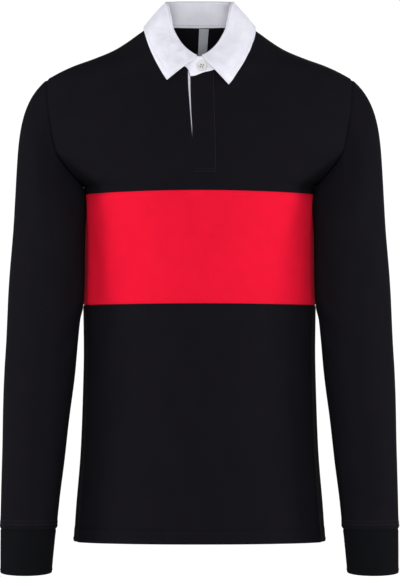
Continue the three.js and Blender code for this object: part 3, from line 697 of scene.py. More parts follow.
def cloth_material(
    name, colour, roughness, sheen, shine, weave, relief, mottle=0.06, crumple=0.2, nap=(1, 1, 1)
):
    """Cloth whose knit or twill is a fine relief laid along the panel.

    weave is its pitch in metres, crumple the height in millimetres of its small soft creases,
    and nap the colour of the fine fibres that stand off it.
    """
    material, tree, shader = new_material(name, roughness, shine)
    shader.inputs["Sheen Weight"].default_value = sheen
    shader.inputs["Sheen Roughness"].default_value = 0.5
    shader.inputs["Sheen Tint"].default_value = (*nap, 1)
    space = tree.nodes.new("ShaderNodeTexCoord").outputs["Object"]
    tinted(tree, shader, space, 38, 5, colour, mottle, (0.3, 0.7))
    place = tree.nodes.new("ShaderNodeUVMap")
    place.uv_map = "cloth"
    turn = add_node(tree, "Mapping", {"Vector": place.outputs["UV"]})
    if relief == "twill":
        turn.inputs["Rotation"].default_value = (0, 0, math.radians(45))
    ribs = add_node(
        tree, "TexWave", {"Vector": turn.outputs["Vector"]},
        Scale=1 / weave / 6.28, Distortion=0.6, Detail=1)
    grain = add_node(tree, "TexNoise", {"Vector": space}, Scale=900, Detail=3)
    both = add_node(tree, "Math", {0: grain.outputs["Fac"], 2: ribs.outputs["Fac"]})
    both.operation = "MULTIPLY_ADD"
    both.inputs[1].default_value = 0.8
    creases = add_node(tree, "TexNoise", {"Vector": space}, Scale=62, Detail=1.5, Distortion=0.6)
    soft = add_node(
        tree, "Bump", {"Height": creases.outputs["Fac"]}, Strength=1, Distance=crumple * MM)
    bump = add_node(
        tree, "Bump", {"Height": both.outputs["Value"], "Normal": soft.outputs["Normal"]},
        Strength=0.35, Distance=0.0002)
    tree.links.new(bump.outputs["Normal"], shader.inputs["Normal"])
    return material


def plain_material(name, colour, roughness, speckle=0.04, shine=0.5):
    material, tree, shader = new_material(name, roughness, shine)
    space = tree.nodes.new("ShaderNodeTexCoord").outputs["Object"]
    tinted(tree, shader, space, 160, 4, colour, speckle)
    return material


BLACK = cloth_material(
    "black_jersey", (0.0070, 0.0064, 0.0085), 0.92, 0.001, 0.02, 0.0011, "knit", crumple=0.3)
RIBBED = cloth_material(
    "black_rib", (0.0050, 0.0053, 0.0064), 0.92, 0.001, 0.02, 0.0022, "knit", crumple=0.1)
RED = cloth_material(
    "red_jersey", (0.735, 0.0075, 0.031), 0.9, 0.30, 0.02, 0.0011, "knit", 0.03, 0.25,
    (0.9, 0.03, 0.06))
WHITE = cloth_material(
    "white_twill", (0.725, 0.72, 0.80), 0.85, 0.02, 0.1, 0.0009, "twill", 0.04, 1.8)
# The stand's white twill is the leaf's cloth made lighter, as painted light: it stands in for the light
# that the shaded inside of the stand and the neck tape don't get.
STAND_WHITE_PAINTED_LIGHT = cloth_material(
    "white_stand_painted_light", (0.86, 0.855, 0.93), 0.85, 0.02, 0.1, 0.0009, "twill", 0.03, 0.7)
GREY = cloth_material(
    "grey_tape", (0.46, 0.475, 0.52), 0.8, 0.03, 0.1, 0.0007, "twill", 0.05)
RESIN = plain_material("button_resin", (0.70, 0.695, 0.68), 0.3)
# Black thread, lighter than the cloth, and made lighter still as a painted highlight on the stitch ridges
# of the cuffs and placket.
BLACK_THREAD_PAINTED_HIGHLIGHT = plain_material("black_thread_painted_highlight", (0.030, 0.028, 0.034), 0.8, shine=0.05)
# Near-black thread, darker than the cloth: painted shade in the hem's stitch groove and inside the
# button's holes.
PAINTED_SHADE_THREAD = plain_material("painted_shade_thread", (0.0022, 0.0022, 0.0028), 0.9, shine=0.02)
GREY_THREAD = plain_material("grey_thread", (0.22, 0.22, 0.25), 0.8, shine=0.05)
WHITE_THREAD = plain_material("white_thread", (0.80, 0.79, 0.88), 0.7, shine=0.1)


# The pieces made so far, and the outer face of each that is sewn, as its points and normals
faces_of = {}


def add(piece, stands=True):
    """Carries a piece on the frame. One that stands for a solid has that solid's name."""
    name = piece.name.split(".")[0]
    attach(piece, "root")
    if stands:
        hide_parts(name)
    return piece


# Sewing
def stitch_form(sides=6, rings=3):
    """One stitch, 1 long and 1 thick, along x: its points and faces."""
    points = [(-0.5, 0, 0)]
    for r in range(rings):
        x = (r - (rings - 1) / 2) / (rings + 0.6)
        size = 0.5 if r == (rings - 1) / 2 else 0.42
        for k in range(sides):
            turn = 2 * math.pi * k / sides
            points.append((x, size * math.cos(turn), size * math.sin(turn)))
    points.append((0.5, 0, 0))
    last = len(points) - 1
    faces = []
    for k in range(sides):
        j = (k + 1) % sides
        faces.append((0, 1 + j, 1 + k))
        faces.append((last, last - sides + k, last - sides + j))
        for r in range(rings - 1):
            a, b = 1 + r * sides, 1 + (r + 1) * sides
            faces.append((a + k, a + j, b + j))
            faces.append((a + k, b + j, b + k))
    return np.array(points), np.array(faces)


STITCH_POINTS, STITCH_FACES = stitch_form()


def points_at(place, along, values):
    """Rows of values read at places along a line."""
    return np.stack([np.interp(place, along, values[:, k]) for k in range(3)], axis=-1)


def sewn(name, lines, material, pitch=STITCH, thick=THREAD):
    """A row of stitches along each line. A line is a list of points and of the normals there."""
    points, faces, start = [], [], 0
    for line, normals in lines:
        along = arc_from(line[:, None, :], 0)[:, 0]
        count = max(int(along[-1] / pitch), 1)
        place = (np.arange(count) + 0.5) * along[-1] / count
        at = points_at(place, along, line)
        up = unit(points_at(place, along, normals))
        way = unit(points_at(place + 0.3, along, line) - points_at(place - 0.3, along, line))
        side = unit(np.cross(up, way))
        length = 0.74 * along[-1] / count
        form = STITCH_POINTS * np.array([length, 2 * thick, 2 * thick])
        placed = (
            at[:, None, :]
            + form[None, :, 0:1] * way[:, None, :]
            + form[None, :, 1:2] * side[:, None, :]
            + form[None, :, 2:3] * up[:, None, :]
        )
        points.append(placed.reshape(-1, 3))
        step = start + np.arange(count)[:, None, None] * len(form)
        faces.append((STITCH_FACES[None] + step).reshape(-1, 3))
        start += count * len(form)
    made = mesh_object(name, np.concatenate(points), np.concatenate(faces), None, material)
    return add(made, stands=False)


def sample(grid, rows, columns):
    """Points of a grid at broken rows and columns."""
    rows, columns = np.broadcast_arrays(np.asarray(rows, float), np.asarray(columns, float))
    i = np.clip(rows.astype(int), 0, grid.shape[0] - 2)
    j = np.clip(columns.astype(int), 0, grid.shape[1] - 2)
    a, b = (rows - i)[..., None], (columns - j)[..., None]
    return mix(mix(grid[i, j], grid[i, j + 1], b), mix(grid[i + 1, j], grid[i + 1, j + 1], b), a)


def line_on(grid, normal, rows, columns, lift=0.1):
    normals = unit(sample(normal, rows, columns))
    return sample(grid, rows, columns) + normals * lift, normals


def line_round(grid, normal, row, lift=0.1):
    """A line all the way round a tube."""
    columns = np.arange(grid.shape[1] + 1) * 1.0
    closed = np.concatenate([grid, grid[:, :1]], axis=1)
    closed_normal = np.concatenate([normal, normal[:, :1]], axis=1)
    return line_on(closed, closed_normal, row + 0 * columns, columns, lift)


def step_at(distances, wanted):
    """The broken step along a growing list of distances at which one is reached."""
    return float(np.interp(wanted, distances, np.arange(len(distances))))


# Body panels and sleeves
def armhole_ring():
    """From the shoulder point down the front to the underarm, and up the back."""
    up = chest_drops(-1, np.array([1.0]))[CHEST_LOW_ROWS:, 0][::-1]
    front = body_base(-1, edge_x(up), up)
    back = body_base(1, edge_x(up), up)
    front[[0, -1], 1] = 0
    return np.concatenate([front, back[1:-1][::-1]])


def sleeve_turns(ring):
    """How far round the sleeve each armhole point comes, in radians from its outside."""
    steps = np.linalg.norm(np.roll(ring, -1, axis=0) - ring, axis=-1)
    lengths = np.concatenate([[0], np.cumsum(steps)])
    under, whole = lengths[ARMHOLE_ROWS], lengths[-1]
    lengths = lengths[:-1]
    front = UNDERARM_TURN * lengths / under
    back = mix(UNDERARM_TURN, 360, (lengths - under) / (whole - under))
    return np.radians(np.where(np.arange(len(ring)) <= ARMHOLE_ROWS, front, back))


def girth_point(girth, drop, turn):
    centre = (girth.inner(drop) + girth.outer(drop)) / 2
    half_width = (girth.outer(drop) - girth.inner(drop)) / 2
    x = centre + half_width * np.cos(turn)
    y = girth.middle(drop) - girth.depth(drop) / 2 * np.sin(turn)
    return point(x, y, -drop + 0 * x)


def armhole_seam():
    """The seam's points, the way each sleeve line leaves, and the seam's own outward direction."""
    ring = armhole_ring()
    turns = sleeve_turns(ring)
    along = unit(np.roll(ring, -1, axis=0) - np.roll(ring, 1, axis=0))
    end = girth_point(sleeve, np.full_like(turns, SLEEVE_CAP_DROP), turns)
    spread = (0.62 * np.abs(np.cos(turns / 2)) ** 1.5)[:, None]
    start = unit(end - ring) * (1 - spread) + np.array([0.97, 0, -0.24]) * spread
    start[:, 0] -= 0.9 * bell(turns - 2.95, 0.4)
    start = unit(start)
    body_side = body_normal(ring)
    body_side = unit(body_side - along * (body_side * along).sum(-1, keepdims=True))
    sleeve_side = unit(np.cross(along, start))
    out = unit(body_side + sleeve_side)
    return SimpleNamespace(ring=ring, turns=turns, start=start, end=end, out=out)


seam = armhole_seam()


def sleeve_lines():
    """The plain sleeve surface: rows from the armhole to the end, columns round the sleeve."""
    outside = ((1 + np.cos(seam.turns)) / 2)[:, None]
    under = (np.abs(np.sin(seam.turns / 2)) ** 6)[:, None]
    run = np.linalg.norm(seam.ring - seam.end, axis=-1, keepdims=True)
    pull = mix(mix(44, 24, under), 62, outside ** 3)
    first = seam.ring + seam.start * pull
    rest = np.concatenate([-0.09 * outside, 0 * outside, 1 + 0 * outside], axis=-1)
    last = seam.end + rest * run * mix(0.38, 0.42, outside)
    t = np.linspace(0, 1, CAP_ROWS + 1)[:, None, None]
    cap = (
        (1 - t) ** 3 * seam.ring
        + 3 * (1 - t) ** 2 * t * first
        + 3 * (1 - t) * t * t * last
        + t ** 3 * seam.end
    )
    drops = closing_drops(SLEEVE_CAP_DROP, SLEEVE_END_DROP, SLEEVE_ROWS)[1:, None]
    below = girth_point(sleeve, drops, seam.turns[None, :])
    return np.concatenate([cap, below])


def sleeve_piece(name, folds, hand):
    base = sleeve_lines()
    normal = grid_normals(base, round_about=True)
    normal[0] = seam.out
    turns = np.degrees(seam.turns)[None, :]
    drops = -base[..., 2]
    height = fold_height(turns, drops, folds, to_mm=0.9, wrap=360)
    height += cloth_ripple(turns * 0.9, drops, 26, 0.2)
    from_seam = arc_from(base, 0)
    to_end = SLEEVE_END_DROP - drops
    height *= smooth_step(from_seam / 30) * smooth_step((to_end + 6) / 24)
    height += seam_dip(from_seam) + seam_dip(to_end, 0.9)
    height += 0.45 * smooth_step((SLEEVE_TURN_UP - to_end) / 4) * smooth_step(to_end / 3)
    for up in SLEEVE_STITCHES:
        height -= 0.35 * bell(to_end - up, 0.9)
    under = np.minimum(np.abs(turns - UNDERARM_TURN), 360) * 0.9
    height += seam_dip(under, 0.6) * smooth_step(from_seam / 10)
    outer = base + normal * height[..., None]
    inner = outer - normal * JERSEY
    mirror = np.array([hand, 1, 1])
    faces_of[name] = outer * mirror, normal * mirror
    return shell(name, outer * mirror, inner * mirror, BLACK, round_about=True)


def cuff_piece(name, hand):
    drops = np.linspace(SLEEVE_END_DROP, CUFF_END_DROP, CUFF_ROWS + 1)[:, None]
    turns = seam.turns[None, :]
    base = girth_point(cuff, drops, turns)
    tilt = smooth_step((drops - 730) / 34) * CUFF_RIM_TILT * np.sin(turns)
    base[..., 2] -= tilt
    normal = grid_normals(base, round_about=True)
    height = seam_dip(drops - SLEEVE_END_DROP, 0.8) + cloth_ripple(np.degrees(turns), drops, 24, 0.12)
    height += 0.5 * bell(CUFF_END_DROP - drops - 3.5, 2.2)
    outer = base + normal * height[..., None]
    inner = outer - normal * RIB
    mirror = np.array([hand, 1, 1])
    return shell(name, outer * mirror, inner * mirror, RIBBED, round_about=True)


def chest_piece(name, side):
    drops = chest_drops(side, SHARES)
    outer, normal = body_panel(side, drops)
    height = seam_dip(band_top(side, SHARES)[None, :] - drops)
    top = drops - top_drop(side, SHARES)[None, :]
    at_shoulder = np.abs(SHARES) * SHOULDER_HALF_WIDTH > NECK_HALF_WIDTH - 0.01
    height += np.where(at_shoulder[None, :], seam_dip(top, 0.6), 0)
    outer = outer + normal * height[..., None]
    inner = outer - normal * JERSEY
    count = len(seam.ring)
    for row in range(CHEST_LOW_ROWS, len(drops)):
        step = len(drops) - 1 - row
        at = step if side < 0 else (count - step) % count
        for column, hand in ((0, -1), (-1, 1)):
            inwards = -JERSEY * seam.out[at] * np.array([hand, 1, 1])
            inner[row, column] = outer[row, column] + inwards
    made = shell(name, outer, inner, BLACK)
    if side < 0:
        cut_away(made, slit_cutter())
        made.data.set_sharp_from_angle(angle=SHARP)
    return made


def band_piece(name, side):
    drops = np.linspace(band_bottom(side, SHARES), band_top(side, SHARES), BAND_ROWS + 1)
    outer, normal = body_panel(side, drops)
    height = seam_dip(drops - band_top(side, SHARES)[None, :])
    height += seam_dip(band_bottom(side, SHARES)[None, :] - drops)
    outer = outer + normal * height[..., None]
    return shell(name, outer, outer - normal * JERSEY, RED)


def lower_piece(name, side):
    high = band_bottom(side, SHARES)
    drops = closing_drops(high, HEM_DROP, LOWER_ROWS)[::-1]
    outer, normal = body_panel(side, drops)
    in_hem = smooth_step((drops - HEM_DROP + HEM_WIDTH + 1.5) / 3)
    height = seam_dip(drops - high[None, :]) + 0.5 * in_hem
    height -= 0.5 * bell(HEM_DROP - drops - HEM_STITCH, 1.1)
    height += 0.8 * bell(HEM_DROP - drops - 3.2, 1.3)
    outer = outer + normal * height[..., None]
    thickness = JERSEY + (DOUBLE_JERSEY - JERSEY) * in_hem
    faces_of[name] = outer, normal
    return shell(name, outer, outer - normal * thickness[..., None], BLACK)


# Placket
def slit_cutter():
    drops = np.linspace(PLACKET_TOP_DROP, PLACKET_BOTTOM_DROP, 24)
    left = np.stack([placket.slit_left(drops), -drops], axis=-1)
    right = np.stack([placket.right(drops), -drops], axis=-1)[::-1]
    outline = np.concatenate([left, right])
    count = len(outline)
    points = [[(x, y, z) for x, z in outline] for y in (-160, -40)]
    faces = [list(range(count)), list(range(2 * count - 1, count - 1, -1))]
    faces += [[k, k + count, (k + 1) % count + count, (k + 1) % count] for k in range(count)]
    return plain_object("cutter", np.array(points).reshape(-1, 3), faces)


def strip_piece(name, left_of, right_of, bottom, lift, thickness, material):
    """A strip that follows the front panel between two edges, with softly rounded sides."""
    across = np.linspace(0, 1, STRIP_COLUMNS + 1)[None, :]
    deep = np.linspace(0, 1, STRIP_ROWS + 1)[:, None]
    x = mix(left_of(NECK_DROP_FRONT), right_of(NECK_DROP_FRONT), across)
    top = neck_drop(-1, x) + 0.3
    drops = mix(bottom, top, deep)
    x = mix(left_of(drops), right_of(drops), across)
    width = right_of(drops) - left_of(drops)
    edge = np.minimum(across, 1 - across) * width
    height = lift - 0.5 * bell(edge, 0.9) - 0.5 * bell(bottom - drops, 0.9)
    height = height - 0.6 * bell(drops - PLACKET_BOX_DROP, 1.1)
    outer = body_points(-1, x, drops, height)
    inner = body_points(-1, x, drops, 0 * x + lift - thickness)
    faces_of[name] = outer, body_normal(body_base(-1, x, drops))
    return shell(name, outer, inner, material)


# Collar. The turn runs from 0 at the front middle, by the wearer's right side, to 360.
def collar_place(turn):
    turn = np.mod(turn, 360)
    return np.where(turn <= 180, -1, 1), np.where(turn <= 180, turn, 360 - turn)


def neck_point(turn):
    hand, half = collar_place(turn)
    x = hand * NECK_HALF_WIDTH * np.sin(np.radians(half))
    side = np.where(half < 90, -1, 1)
    drop = neck_drop(side, x)
    y = np.where(np.abs(half - 90) < 0.5, 0, body_y(side, x, drop))
    return point(x, y, -drop)


def fold_point(turn):
    hand, half = collar_place(turn)
    return point(hand * fold.x(half), fold.y(half), -fold.drop(half))


def fold_outwards(turn):
    along = unit(fold_point(turn + 2) - fold_point(turn - 2))
    return -unit(np.stack([along[..., 1], -along[..., 0], 0 * along[..., 0]], axis=-1))


STAND_LAP = 1.2
STAND_FOOT = 0.95
STAND_ENDS = (-14, 372.2)
STAND_THICKNESS = 1.9


def lap_shift(turn):
    """The ends of the stand lap: the left end lies over the right one."""
    return STAND_LAP * (smooth_step((turn - 326) / 24) - smooth_step((34 - turn) / 24))


def stand_point(turn, share, out=0.0):
    base, top = neck_point(turn), fold_point(turn)
    top[..., 2] -= 3.2 * smooth_step((turn - 364) / 8)
    foot = base + unit(top - base) * STAND_FOOT
    across = fold_outwards(turn)
    return mix(foot, top, np.asarray(share)[..., None]) + across * (lap_shift(turn) + out)[..., None]


def stand_piece():
    share = np.linspace(0, 1, STAND_ROWS + 1)[:, None]
    first, last = STAND_ENDS
    turn = mix(first, last + 9 * share, np.linspace(0, 1, STAND_COLUMNS + 1)[None, :])
    outer = stand_point(turn, share + 0 * turn)
    normal = grid_normals(outer, turned_over=True)
    height = 0.3 * np.sin(np.pi * share) + cloth_ripple(turn * 0.9, share * 30, 9, 0.1)
    outer = outer + normal * height[..., None]
    faces_of["collar_stand"] = outer, normal
    # The stand's cloth is lighter than the leaf's twill: painted light on the shaded inside of the stand.
    return shell("collar_stand", outer, outer - normal * STAND_THICKNESS, STAND_WHITE_PAINTED_LIGHT)


def leaf_edge(turn):
    hand, half = collar_place(turn)
    side = np.where(half < 92, -1, 1)
    x = np.where(hand < 0, leaf.right_x(half), leaf.left_x(half))
    drop = np.where(hand < 0, leaf.right_drop(half), leaf.left_drop(half))
    edge = point(hand * x, body_y(side, x, drop), -drop)
    near = bell(half - 92, 5)
    edge[..., 1] = edge[..., 1] * (1 - near)
    return edge + body_normal(edge) * 1.5


def spline(knots, count):
    """A smooth line through rows of knots, evenly stepped between each two."""
    first = 2 * knots[0] - knots[1]
    last = 2 * knots[-1] - knots[-2]
    k = np.concatenate([first[None], knots, last[None]])
    rows = []
    for i in range(1, len(k) - 2):
        for t in np.arange(count) / count:
            a, b, c, d = k[i - 1], k[i], k[i + 1], k[i + 2]
            rows.append(0.5 * (
                2 * b + (c - a) * t + (2 * a - 5 * b + 4 * c - d) * t ** 2
                + (3 * b - a - 3 * c + d) * t ** 3
            ))
    rows.append(k[-2])
    return np.array(rows)


LEAF_GAP = 0.35
LEAF_START = 3.2
LEAF_DENT = 2.0
LEAF_TOPSTITCH = 6.4


def leaf_piece():
    """The leaf rolls over the top of the stand and runs down outside it to its edge on the body."""
    half = np.concatenate([[1.2, 2.2, 3.6], np.linspace(5, 180, LEAF_COLUMNS)])
    turn = np.concatenate([half, 360 - half[:-1][::-1]])
    out = fold_outwards(turn)
    up = np.array([0, 0, 1.0])
    lap = np.abs(lap_shift(turn))[:, None]
    hand = np.where(turn < 180, -1, 1)[:, None]
    start = turn - hand[:, 0] * LEAF_START * np.exp(-(np.minimum(turn, 360 - turn) - 1.2) / 5)
    corner = fold_point(start) + out * lap
    heel = fold_point(start) + out * (hand * lap - 2)
    edge = leaf_edge(turn)
    bow = np.where(turn < 180, leaf.bow(turn), leaf.bow(360 - turn))[:, None]
    begin = corner + out * LEAF_GAP
    fall = []
    for share in np.linspace(0, 1, 9)[1:]:
        swell = bow * max(math.sin(math.pi * share), 0) ** 0.8
        fall.append(mix(begin, edge, share) + out * swell)
    knots = [
        heel + up * LEAF_GAP,
        mix(heel, corner, 0.5) + up * (LEAF_GAP + 0.35),
        corner + up * (LEAF_GAP + 0.1),
        corner + unit(up + out) * (LEAF_GAP + 0.1),
        begin - up * 0.6,
        *fall,
    ]
    inner = spline(np.array(knots), 4)
    normal = grid_normals(inner)
    share = np.linspace(0, 1, len(inner))[:, None]
    height = np.zeros((len(inner), len(turn)))
    for at, down, reach, deep, top in LEAF_DENTS:
        height += top * bell(turn[None, :] - at, reach) * bell(share - down, deep)
    height *= smooth_step((share - 0.3) / 0.2) * smooth_step((1.02 - share) / 0.15)
    inner = inner + normal * (LEAF_DENT * height)[..., None]
    from_edge = arc_from(inner[::-1], 0)[::-1]
    from_front = arc_from(inner, 1)
    from_front = np.minimum(from_front, arc_from(inner[:, ::-1], 1)[:, ::-1])
    inset = np.where(share > 0.3, np.minimum(from_edge, from_front), from_edge)
    sewn_in = 0.4 * bell(inset - LEAF_TOPSTITCH, 0.9)
    rolled = 0.3 * bell(inset, 0.7) - 0.25 * bell(inset - 3, 1.8)
    outer = inner + normal * (TWILL - sewn_in - rolled)[..., None]
    faces_of["collar_leaf"] = outer, normal
    return shell("collar_leaf", outer, inner, WHITE)


def leaf_topstitch(grid, normal, inset):
    """Down one front end of the leaf, along its outer edge and up the other front end."""
    from_edge = arc_from(grid[::-1], 0)[::-1]
    from_right, from_left = arc_from(grid, 1), arc_from(grid[:, ::-1], 1)
    rows, columns = [], []
    falling = [r for r in range(12, len(grid)) if from_edge[r, 3] > inset]
    for r in falling:
        rows.append(r)
        columns.append(step_at(from_right[r], inset))
    last = grid.shape[1] - 1
    for c in range(last + 1):
        row = step_at(-from_edge[:, c], -inset)
        near = int(row)
        if from_right[near, c] > inset and from_left[near, last - c] > inset:
            rows.append(row)
            columns.append(c)
    for r in falling[::-1]:
        rows.append(r)
        columns.append(last - step_at(from_left[r], inset))
    return line_on(grid, normal, np.array(rows), np.array(columns))


# Tape and label inside the back neck
TAPE_TOP_DROP = 5.0
TAPE_BOTTOM_DROP = 8.7
TAPE_HALF_LENGTH = 47
LABEL_TOP_DROP = 9.6
LABEL_BOTTOM_DROP = 58
LABEL_THICKNESS = 0.7


def tape_grid(inwards):
    """Inside the back of the neck, over the seam of the collar stand."""
    x = np.linspace(-TAPE_HALF_LENGTH, TAPE_HALF_LENGTH, 81)[None, :]
    drops = np.linspace(TAPE_BOTTOM_DROP, TAPE_TOP_DROP, 9)[:, None] + 0 * x
    y = body_y(1, x, TAPE_BOTTOM_DROP + 0 * x) - 2.6 - 0.2 * (TAPE_BOTTOM_DROP - drops) - inwards
    return point(x, y, -drops)


def neck_tape():
    # The tape's cloth is the lightened stand twill: painted light in the shaded back neck.
    return shell("neck_tape", tape_grid(0), tape_grid(0.5), STAND_WHITE_PAINTED_LIGHT)


# Button
def lathe(name, profile, sides, material):
    turns = np.linspace(0, 2 * math.pi, sides, endpoint=False)
    rows = [[(r * math.cos(t), r * math.sin(t), h) for t in turns] for r, h in profile]
    grid = np.array(rows)
    index = np.arange(grid.shape[0] * sides).reshape(-1, sides)
    index = np.concatenate([index, index[:, :1]], axis=1)
    cells = np.stack([index[:-1, :-1], index[:-1, 1:], index[1:, 1:], index[1:, :-1]], axis=-1)
    faces = cells.reshape(-1, 4).tolist() + [index[0, :-1].tolist(), index[-1, :-1].tolist()[::-1]]
    made = plain_object(name, grid.reshape(-1, 3), faces)
    made.data.materials.append(material)
    return made


def button_piece():
    radius = BUTTON_DIAMETER / 2
    top = BUTTON_THICKNESS
    profile = [
        (0.4, 0), (radius - 1.2, 0), (radius - 0.3, 0.4), (radius, 1.1), (radius - 0.1, top - 0.8),
        (radius - 0.6, top - 0.2), (radius - 1.2, top), (radius - 1.8, top - 0.15),
        (radius - 2.2, top - 1.2), (radius - 2.7, top - 1.6), (0.4, top - 1.6),
    ]
    made = lathe("button_neck", profile, 48, RESIN)
    for turn in np.radians(BUTTON_HOLE_TURNS):
        hole = lathe("hole", [(1.05, -2), (1.05, 5)], 16, RESIN)
        hole.location = Vector((math.cos(turn), math.sin(turn), 0)) * BUTTON_HOLE_REACH * MM
        cut_away(made, hole)
    made.data.shade_smooth()
    made.data.set_sharp_from_angle(angle=math.radians(40))
    turn = np.array([BUTTON_TURN])
    level = np.array([BUTTON_LEVEL])
    seat = stand_point(turn, level)[0]
    along = unit(stand_point(turn + 3, level) - stand_point(turn - 3, level))[0]
    rise = unit(stand_point(turn, level + 0.2) - stand_point(turn, level - 0.2))[0]
    normal = unit(np.cross(along, rise))
    normal = -normal if normal[1] > 0 else normal
    place = Matrix.Translation(Vector(seat + normal * 0.6) * MM)
    place = place @ Vector(normal).to_track_quat("Z", "Y").to_matrix().to_4x4()
    made.data.transform(place)
    return made, place


def button_thread_shade(place):
    """The thread down each of the four holes, near black as painted shade inside the holes."""
    lines = []
    for turn in np.radians(BUTTON_HOLE_TURNS):
        x, y = BUTTON_HOLE_REACH * math.cos(turn), BUTTON_HOLE_REACH * math.sin(turn)
        lines.append((np.array([[x, y, -0.1], [x, y, 0.5]]), np.tile([1.0, 0, 0], (2, 1))))
    made = sewn("button_thread_shade", lines, PAINTED_SHADE_THREAD, 0.6, 0.9)
    made.data.transform(place)


def label_piece():
    across = np.linspace(0, 1, 13)[None, :]
    drops = np.linspace(LABEL_BOTTOM_DROP, LABEL_TOP_DROP, 60)[:, None] + 0 * across
    down = drops - LABEL_TOP_DROP
    x = mix(-0.8 - 0.042 * down, 13.9 - 0.1 * down, across)
    sway = 0.6 * np.sin(down / 11 + across) * smooth_step((down - 5) / 20)
    base = body_base(1, x, drops)
    normal = body_normal(base)
    outer = base - normal * (JERSEY + 1.5 + sway)[..., None]
    return shell("neck_label", outer, outer - normal * LABEL_THICKNESS, GREY)


# Stitch lines
def hem_line(grid, normal):
    columns = np.arange(grid.shape[1]) * 1.0
    return line_on(grid, normal, HEM_STITCH / FINE_PITCH + 0 * columns, columns)


def sleeve_end_lines(grid, normal):
    return [line_round(grid, normal, len(grid) - 1 - up / FINE_PITCH) for up in SLEEVE_STITCHES]


def stand_lines(grid, normal):
    last = grid.shape[1] - 1
    columns = np.arange(2, last - 2) * 1.0
    rows = len(grid) - 1
    low = line_on(grid, normal, rows * 0.11 + 0 * columns, columns)
    end_rows = np.linspace(rows * 0.11, rows * 0.9, 20)
    return [low, line_on(grid, normal, end_rows, last - 2.2 + 0 * end_rows)]


def placket_lines(grid, normal):
    """Down the placket's right edge, and twice across its foot."""
    rows, columns = grid.shape[0] - 1, grid.shape[1] - 1
    top = neck_drop(-1, 4.0)
    bottom = PLACKET_BOTTOM_DROP - PLACKET_GAP
    down = np.linspace(bottom - 4, top + 2, 90)
    up_rows = (bottom - down) / (bottom - top) * rows
    lines = [line_on(grid, normal, up_rows, columns * 0.962 + 0 * up_rows)]
    across = np.linspace(0.6, columns - 0.6, 30)
    for drop in PLACKET_STITCHES:
        row = (bottom - drop) / (bottom - top) * rows
        lines.append(line_on(grid, normal, row + 0 * across, across))
    return lines


# The shirt
for maker, part in ((chest_piece, "chest"), (band_piece, "band"), (lower_piece, "lower")):
    for side, where in ((-1, "front"), (1, "back")):
        add(maker(f"{where}_{part}", side))
add(sleeve_piece("sleeve_left", LEFT_FOLDS, 1))
add(sleeve_piece("sleeve_right", RIGHT_FOLDS, -1))
add(cuff_piece("cuff_left", 1))
add(cuff_piece("cuff_right", -1))
add(stand_piece())
add(leaf_piece())
add(strip_piece(
    "placket_over", placket.over_left, lambda d: placket.right(d) - PLACKET_GAP,
    PLACKET_BOTTOM_DROP - PLACKET_GAP, 0.8, 1.6, BLACK,
))
add(strip_piece(
    "placket_under", lambda d: placket.slit_left(d) + 0.1, lambda d: placket.right(d) - 3,
    PLACKET_BOTTOM_DROP - 6, -1.1, 1.1, WHITE,
))
button, button_place = button_piece()
add(button)
button_thread_shade(button_place)
add(label_piece())
add(neck_tape(), stands=False)

# The hem stitches are darker than the cloth: painted shade in the stitch groove.
for where in ("front", "back"):
    sewn(f"stitches_hem_{where}", [hem_line(*faces_of[f"{where}_lower"])], PAINTED_SHADE_THREAD)
# Sleeve end stitches: their thread is lightened as a painted highlight on the stitch ridges.
for where in ("left", "right"):
    sewn(f"stitches_sleeve_{where}", sleeve_end_lines(*faces_of[f"sleeve_{where}"]), BLACK_THREAD_PAINTED_HIGHLIGHT)
leaf_line = leaf_topstitch(*faces_of["collar_leaf"], LEAF_TOPSTITCH)
sewn("stitches_leaf", [leaf_line], WHITE_THREAD, FINE_STITCH, 0.2)
sewn("stitches_stand", stand_lines(*faces_of["collar_stand"]), WHITE_THREAD, FINE_STITCH, 0.22)
tape_line = tape_grid(0.75)[-1]
tape_normals = np.tile([0, -1.0, 0], (len(tape_line), 1))
sewn("stitches_tape", [(tape_line, tape_normals)], GREY_THREAD, 2.2)
# Placket stitches: their thread is lightened as a painted highlight on the stitch ridges.
sewn("stitches_placket", placket_lines(*faces_of["placket_over"]), BLACK_THREAD_PAINTED_HIGHLIGHT, FINE_STITCH)


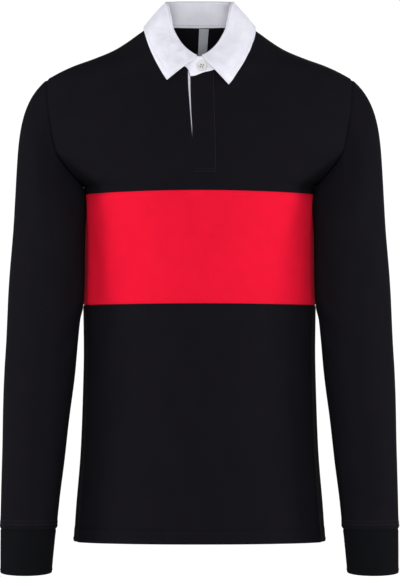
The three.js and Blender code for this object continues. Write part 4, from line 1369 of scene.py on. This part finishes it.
# Studio
def soft_world():
    """A dim room with a pale band at the height of the horizon, which is white behind the shirt."""
    world = bpy.data.worlds.new("studio")
    world.use_nodes = True
    tree = world.node_tree

    def math_node(operation, sources, other=0.0):
        made = add_node(tree, "Math", dict(enumerate(sources)))
        made.operation = operation
        if len(sources) == 1:
            made.inputs[1].default_value = other
        return made.outputs["Value"]

    def soft_range(value, low, high, first, last):
        made = add_node(tree, "MapRange", {"Value": value})
        made.interpolation_type = "SMOOTHSTEP"
        for socket, number in zip(("From Min", "From Max", "To Min", "To Max"), (low, high, first, last)):
            made.inputs[socket].default_value = number
        return made.outputs["Result"]

    space = tree.nodes.new("ShaderNodeTexCoord")
    split = add_node(tree, "SeparateXYZ", {"Vector": space.outputs["Generated"]})
    height = math_node("ABSOLUTE", [split.outputs["Z"]])
    band = soft_range(height, WORLD_BAND, WORLD_BAND + 0.12, 1, 0)
    pale = soft_range(split.outputs["Y"], 0.0, 0.7, WORLD_FRONT, WORLD_FRONT + WORLD_BACK)
    light = math_node("ADD", [math_node("MULTIPLY", [band, pale])], WORLD_DIM)
    back = tree.nodes["Background"]
    back.inputs["Color"].default_value = (1, 1, 1, 1)
    tree.links.new(light, back.inputs["Strength"])
    bpy.context.scene.world = world


def softbox(name, place, size, share):
    """A square lamp aimed at the shirt. share is how bright it makes a white face turned to it."""
    middle = Vector((0, 0, LAMP_AIM))
    reach = (middle - Vector(place)).length
    lamp = bpy.data.lights.new(name, "AREA")
    lamp.size = size
    lamp.energy = share * math.pi ** 2 * reach ** 2
    made = bpy.data.objects.new(name, lamp)
    made.location = place
    made.rotation_euler = (middle - Vector(place)).to_track_quat("-Z", "Y").to_euler()
    bpy.context.scene.collection.objects.link(made)


def studio():
    soft_world()
    bpy.context.scene.view_settings.view_transform = "Standard"
    bpy.ops.mesh.primitive_plane_add(size=FLOOR_SIZE, location=(0, 0, FLOOR_LEVEL))
    floor = bpy.context.object
    floor.name = "floor"
    floor.data.materials.append(plain_material("floor", (0.86, 0.86, 0.87), 0.9, 0.01))
    for lamp in SOFTBOXES:
        softbox(*lamp)


def camera():
    """The photograph is 400 pixels wide and shows 1.39 mm a pixel in the plane y = 0."""
    pixel, across, down = 1.39 * MM, 400, 577
    distance, aim_pixel_y, neck_pixel_y, film = 7.5, 288.5, 20, 24
    lens = bpy.data.cameras.new("camera")
    lens.sensor_fit = "VERTICAL"
    lens.sensor_height = film
    lens.sensor_width = film * across / down
    lens.lens = film * distance / (down * pixel)
    lens.clip_end = 60
    made = bpy.data.objects.new("camera", lens)
    made.location = (0.5 * pixel, -distance, -(aim_pixel_y - neck_pixel_y) * pixel)
    made.rotation_euler = (math.radians(90), 0, 0)
    bpy.context.scene.collection.objects.link(made)
    bpy.context.scene.camera = made


studio()
camera()
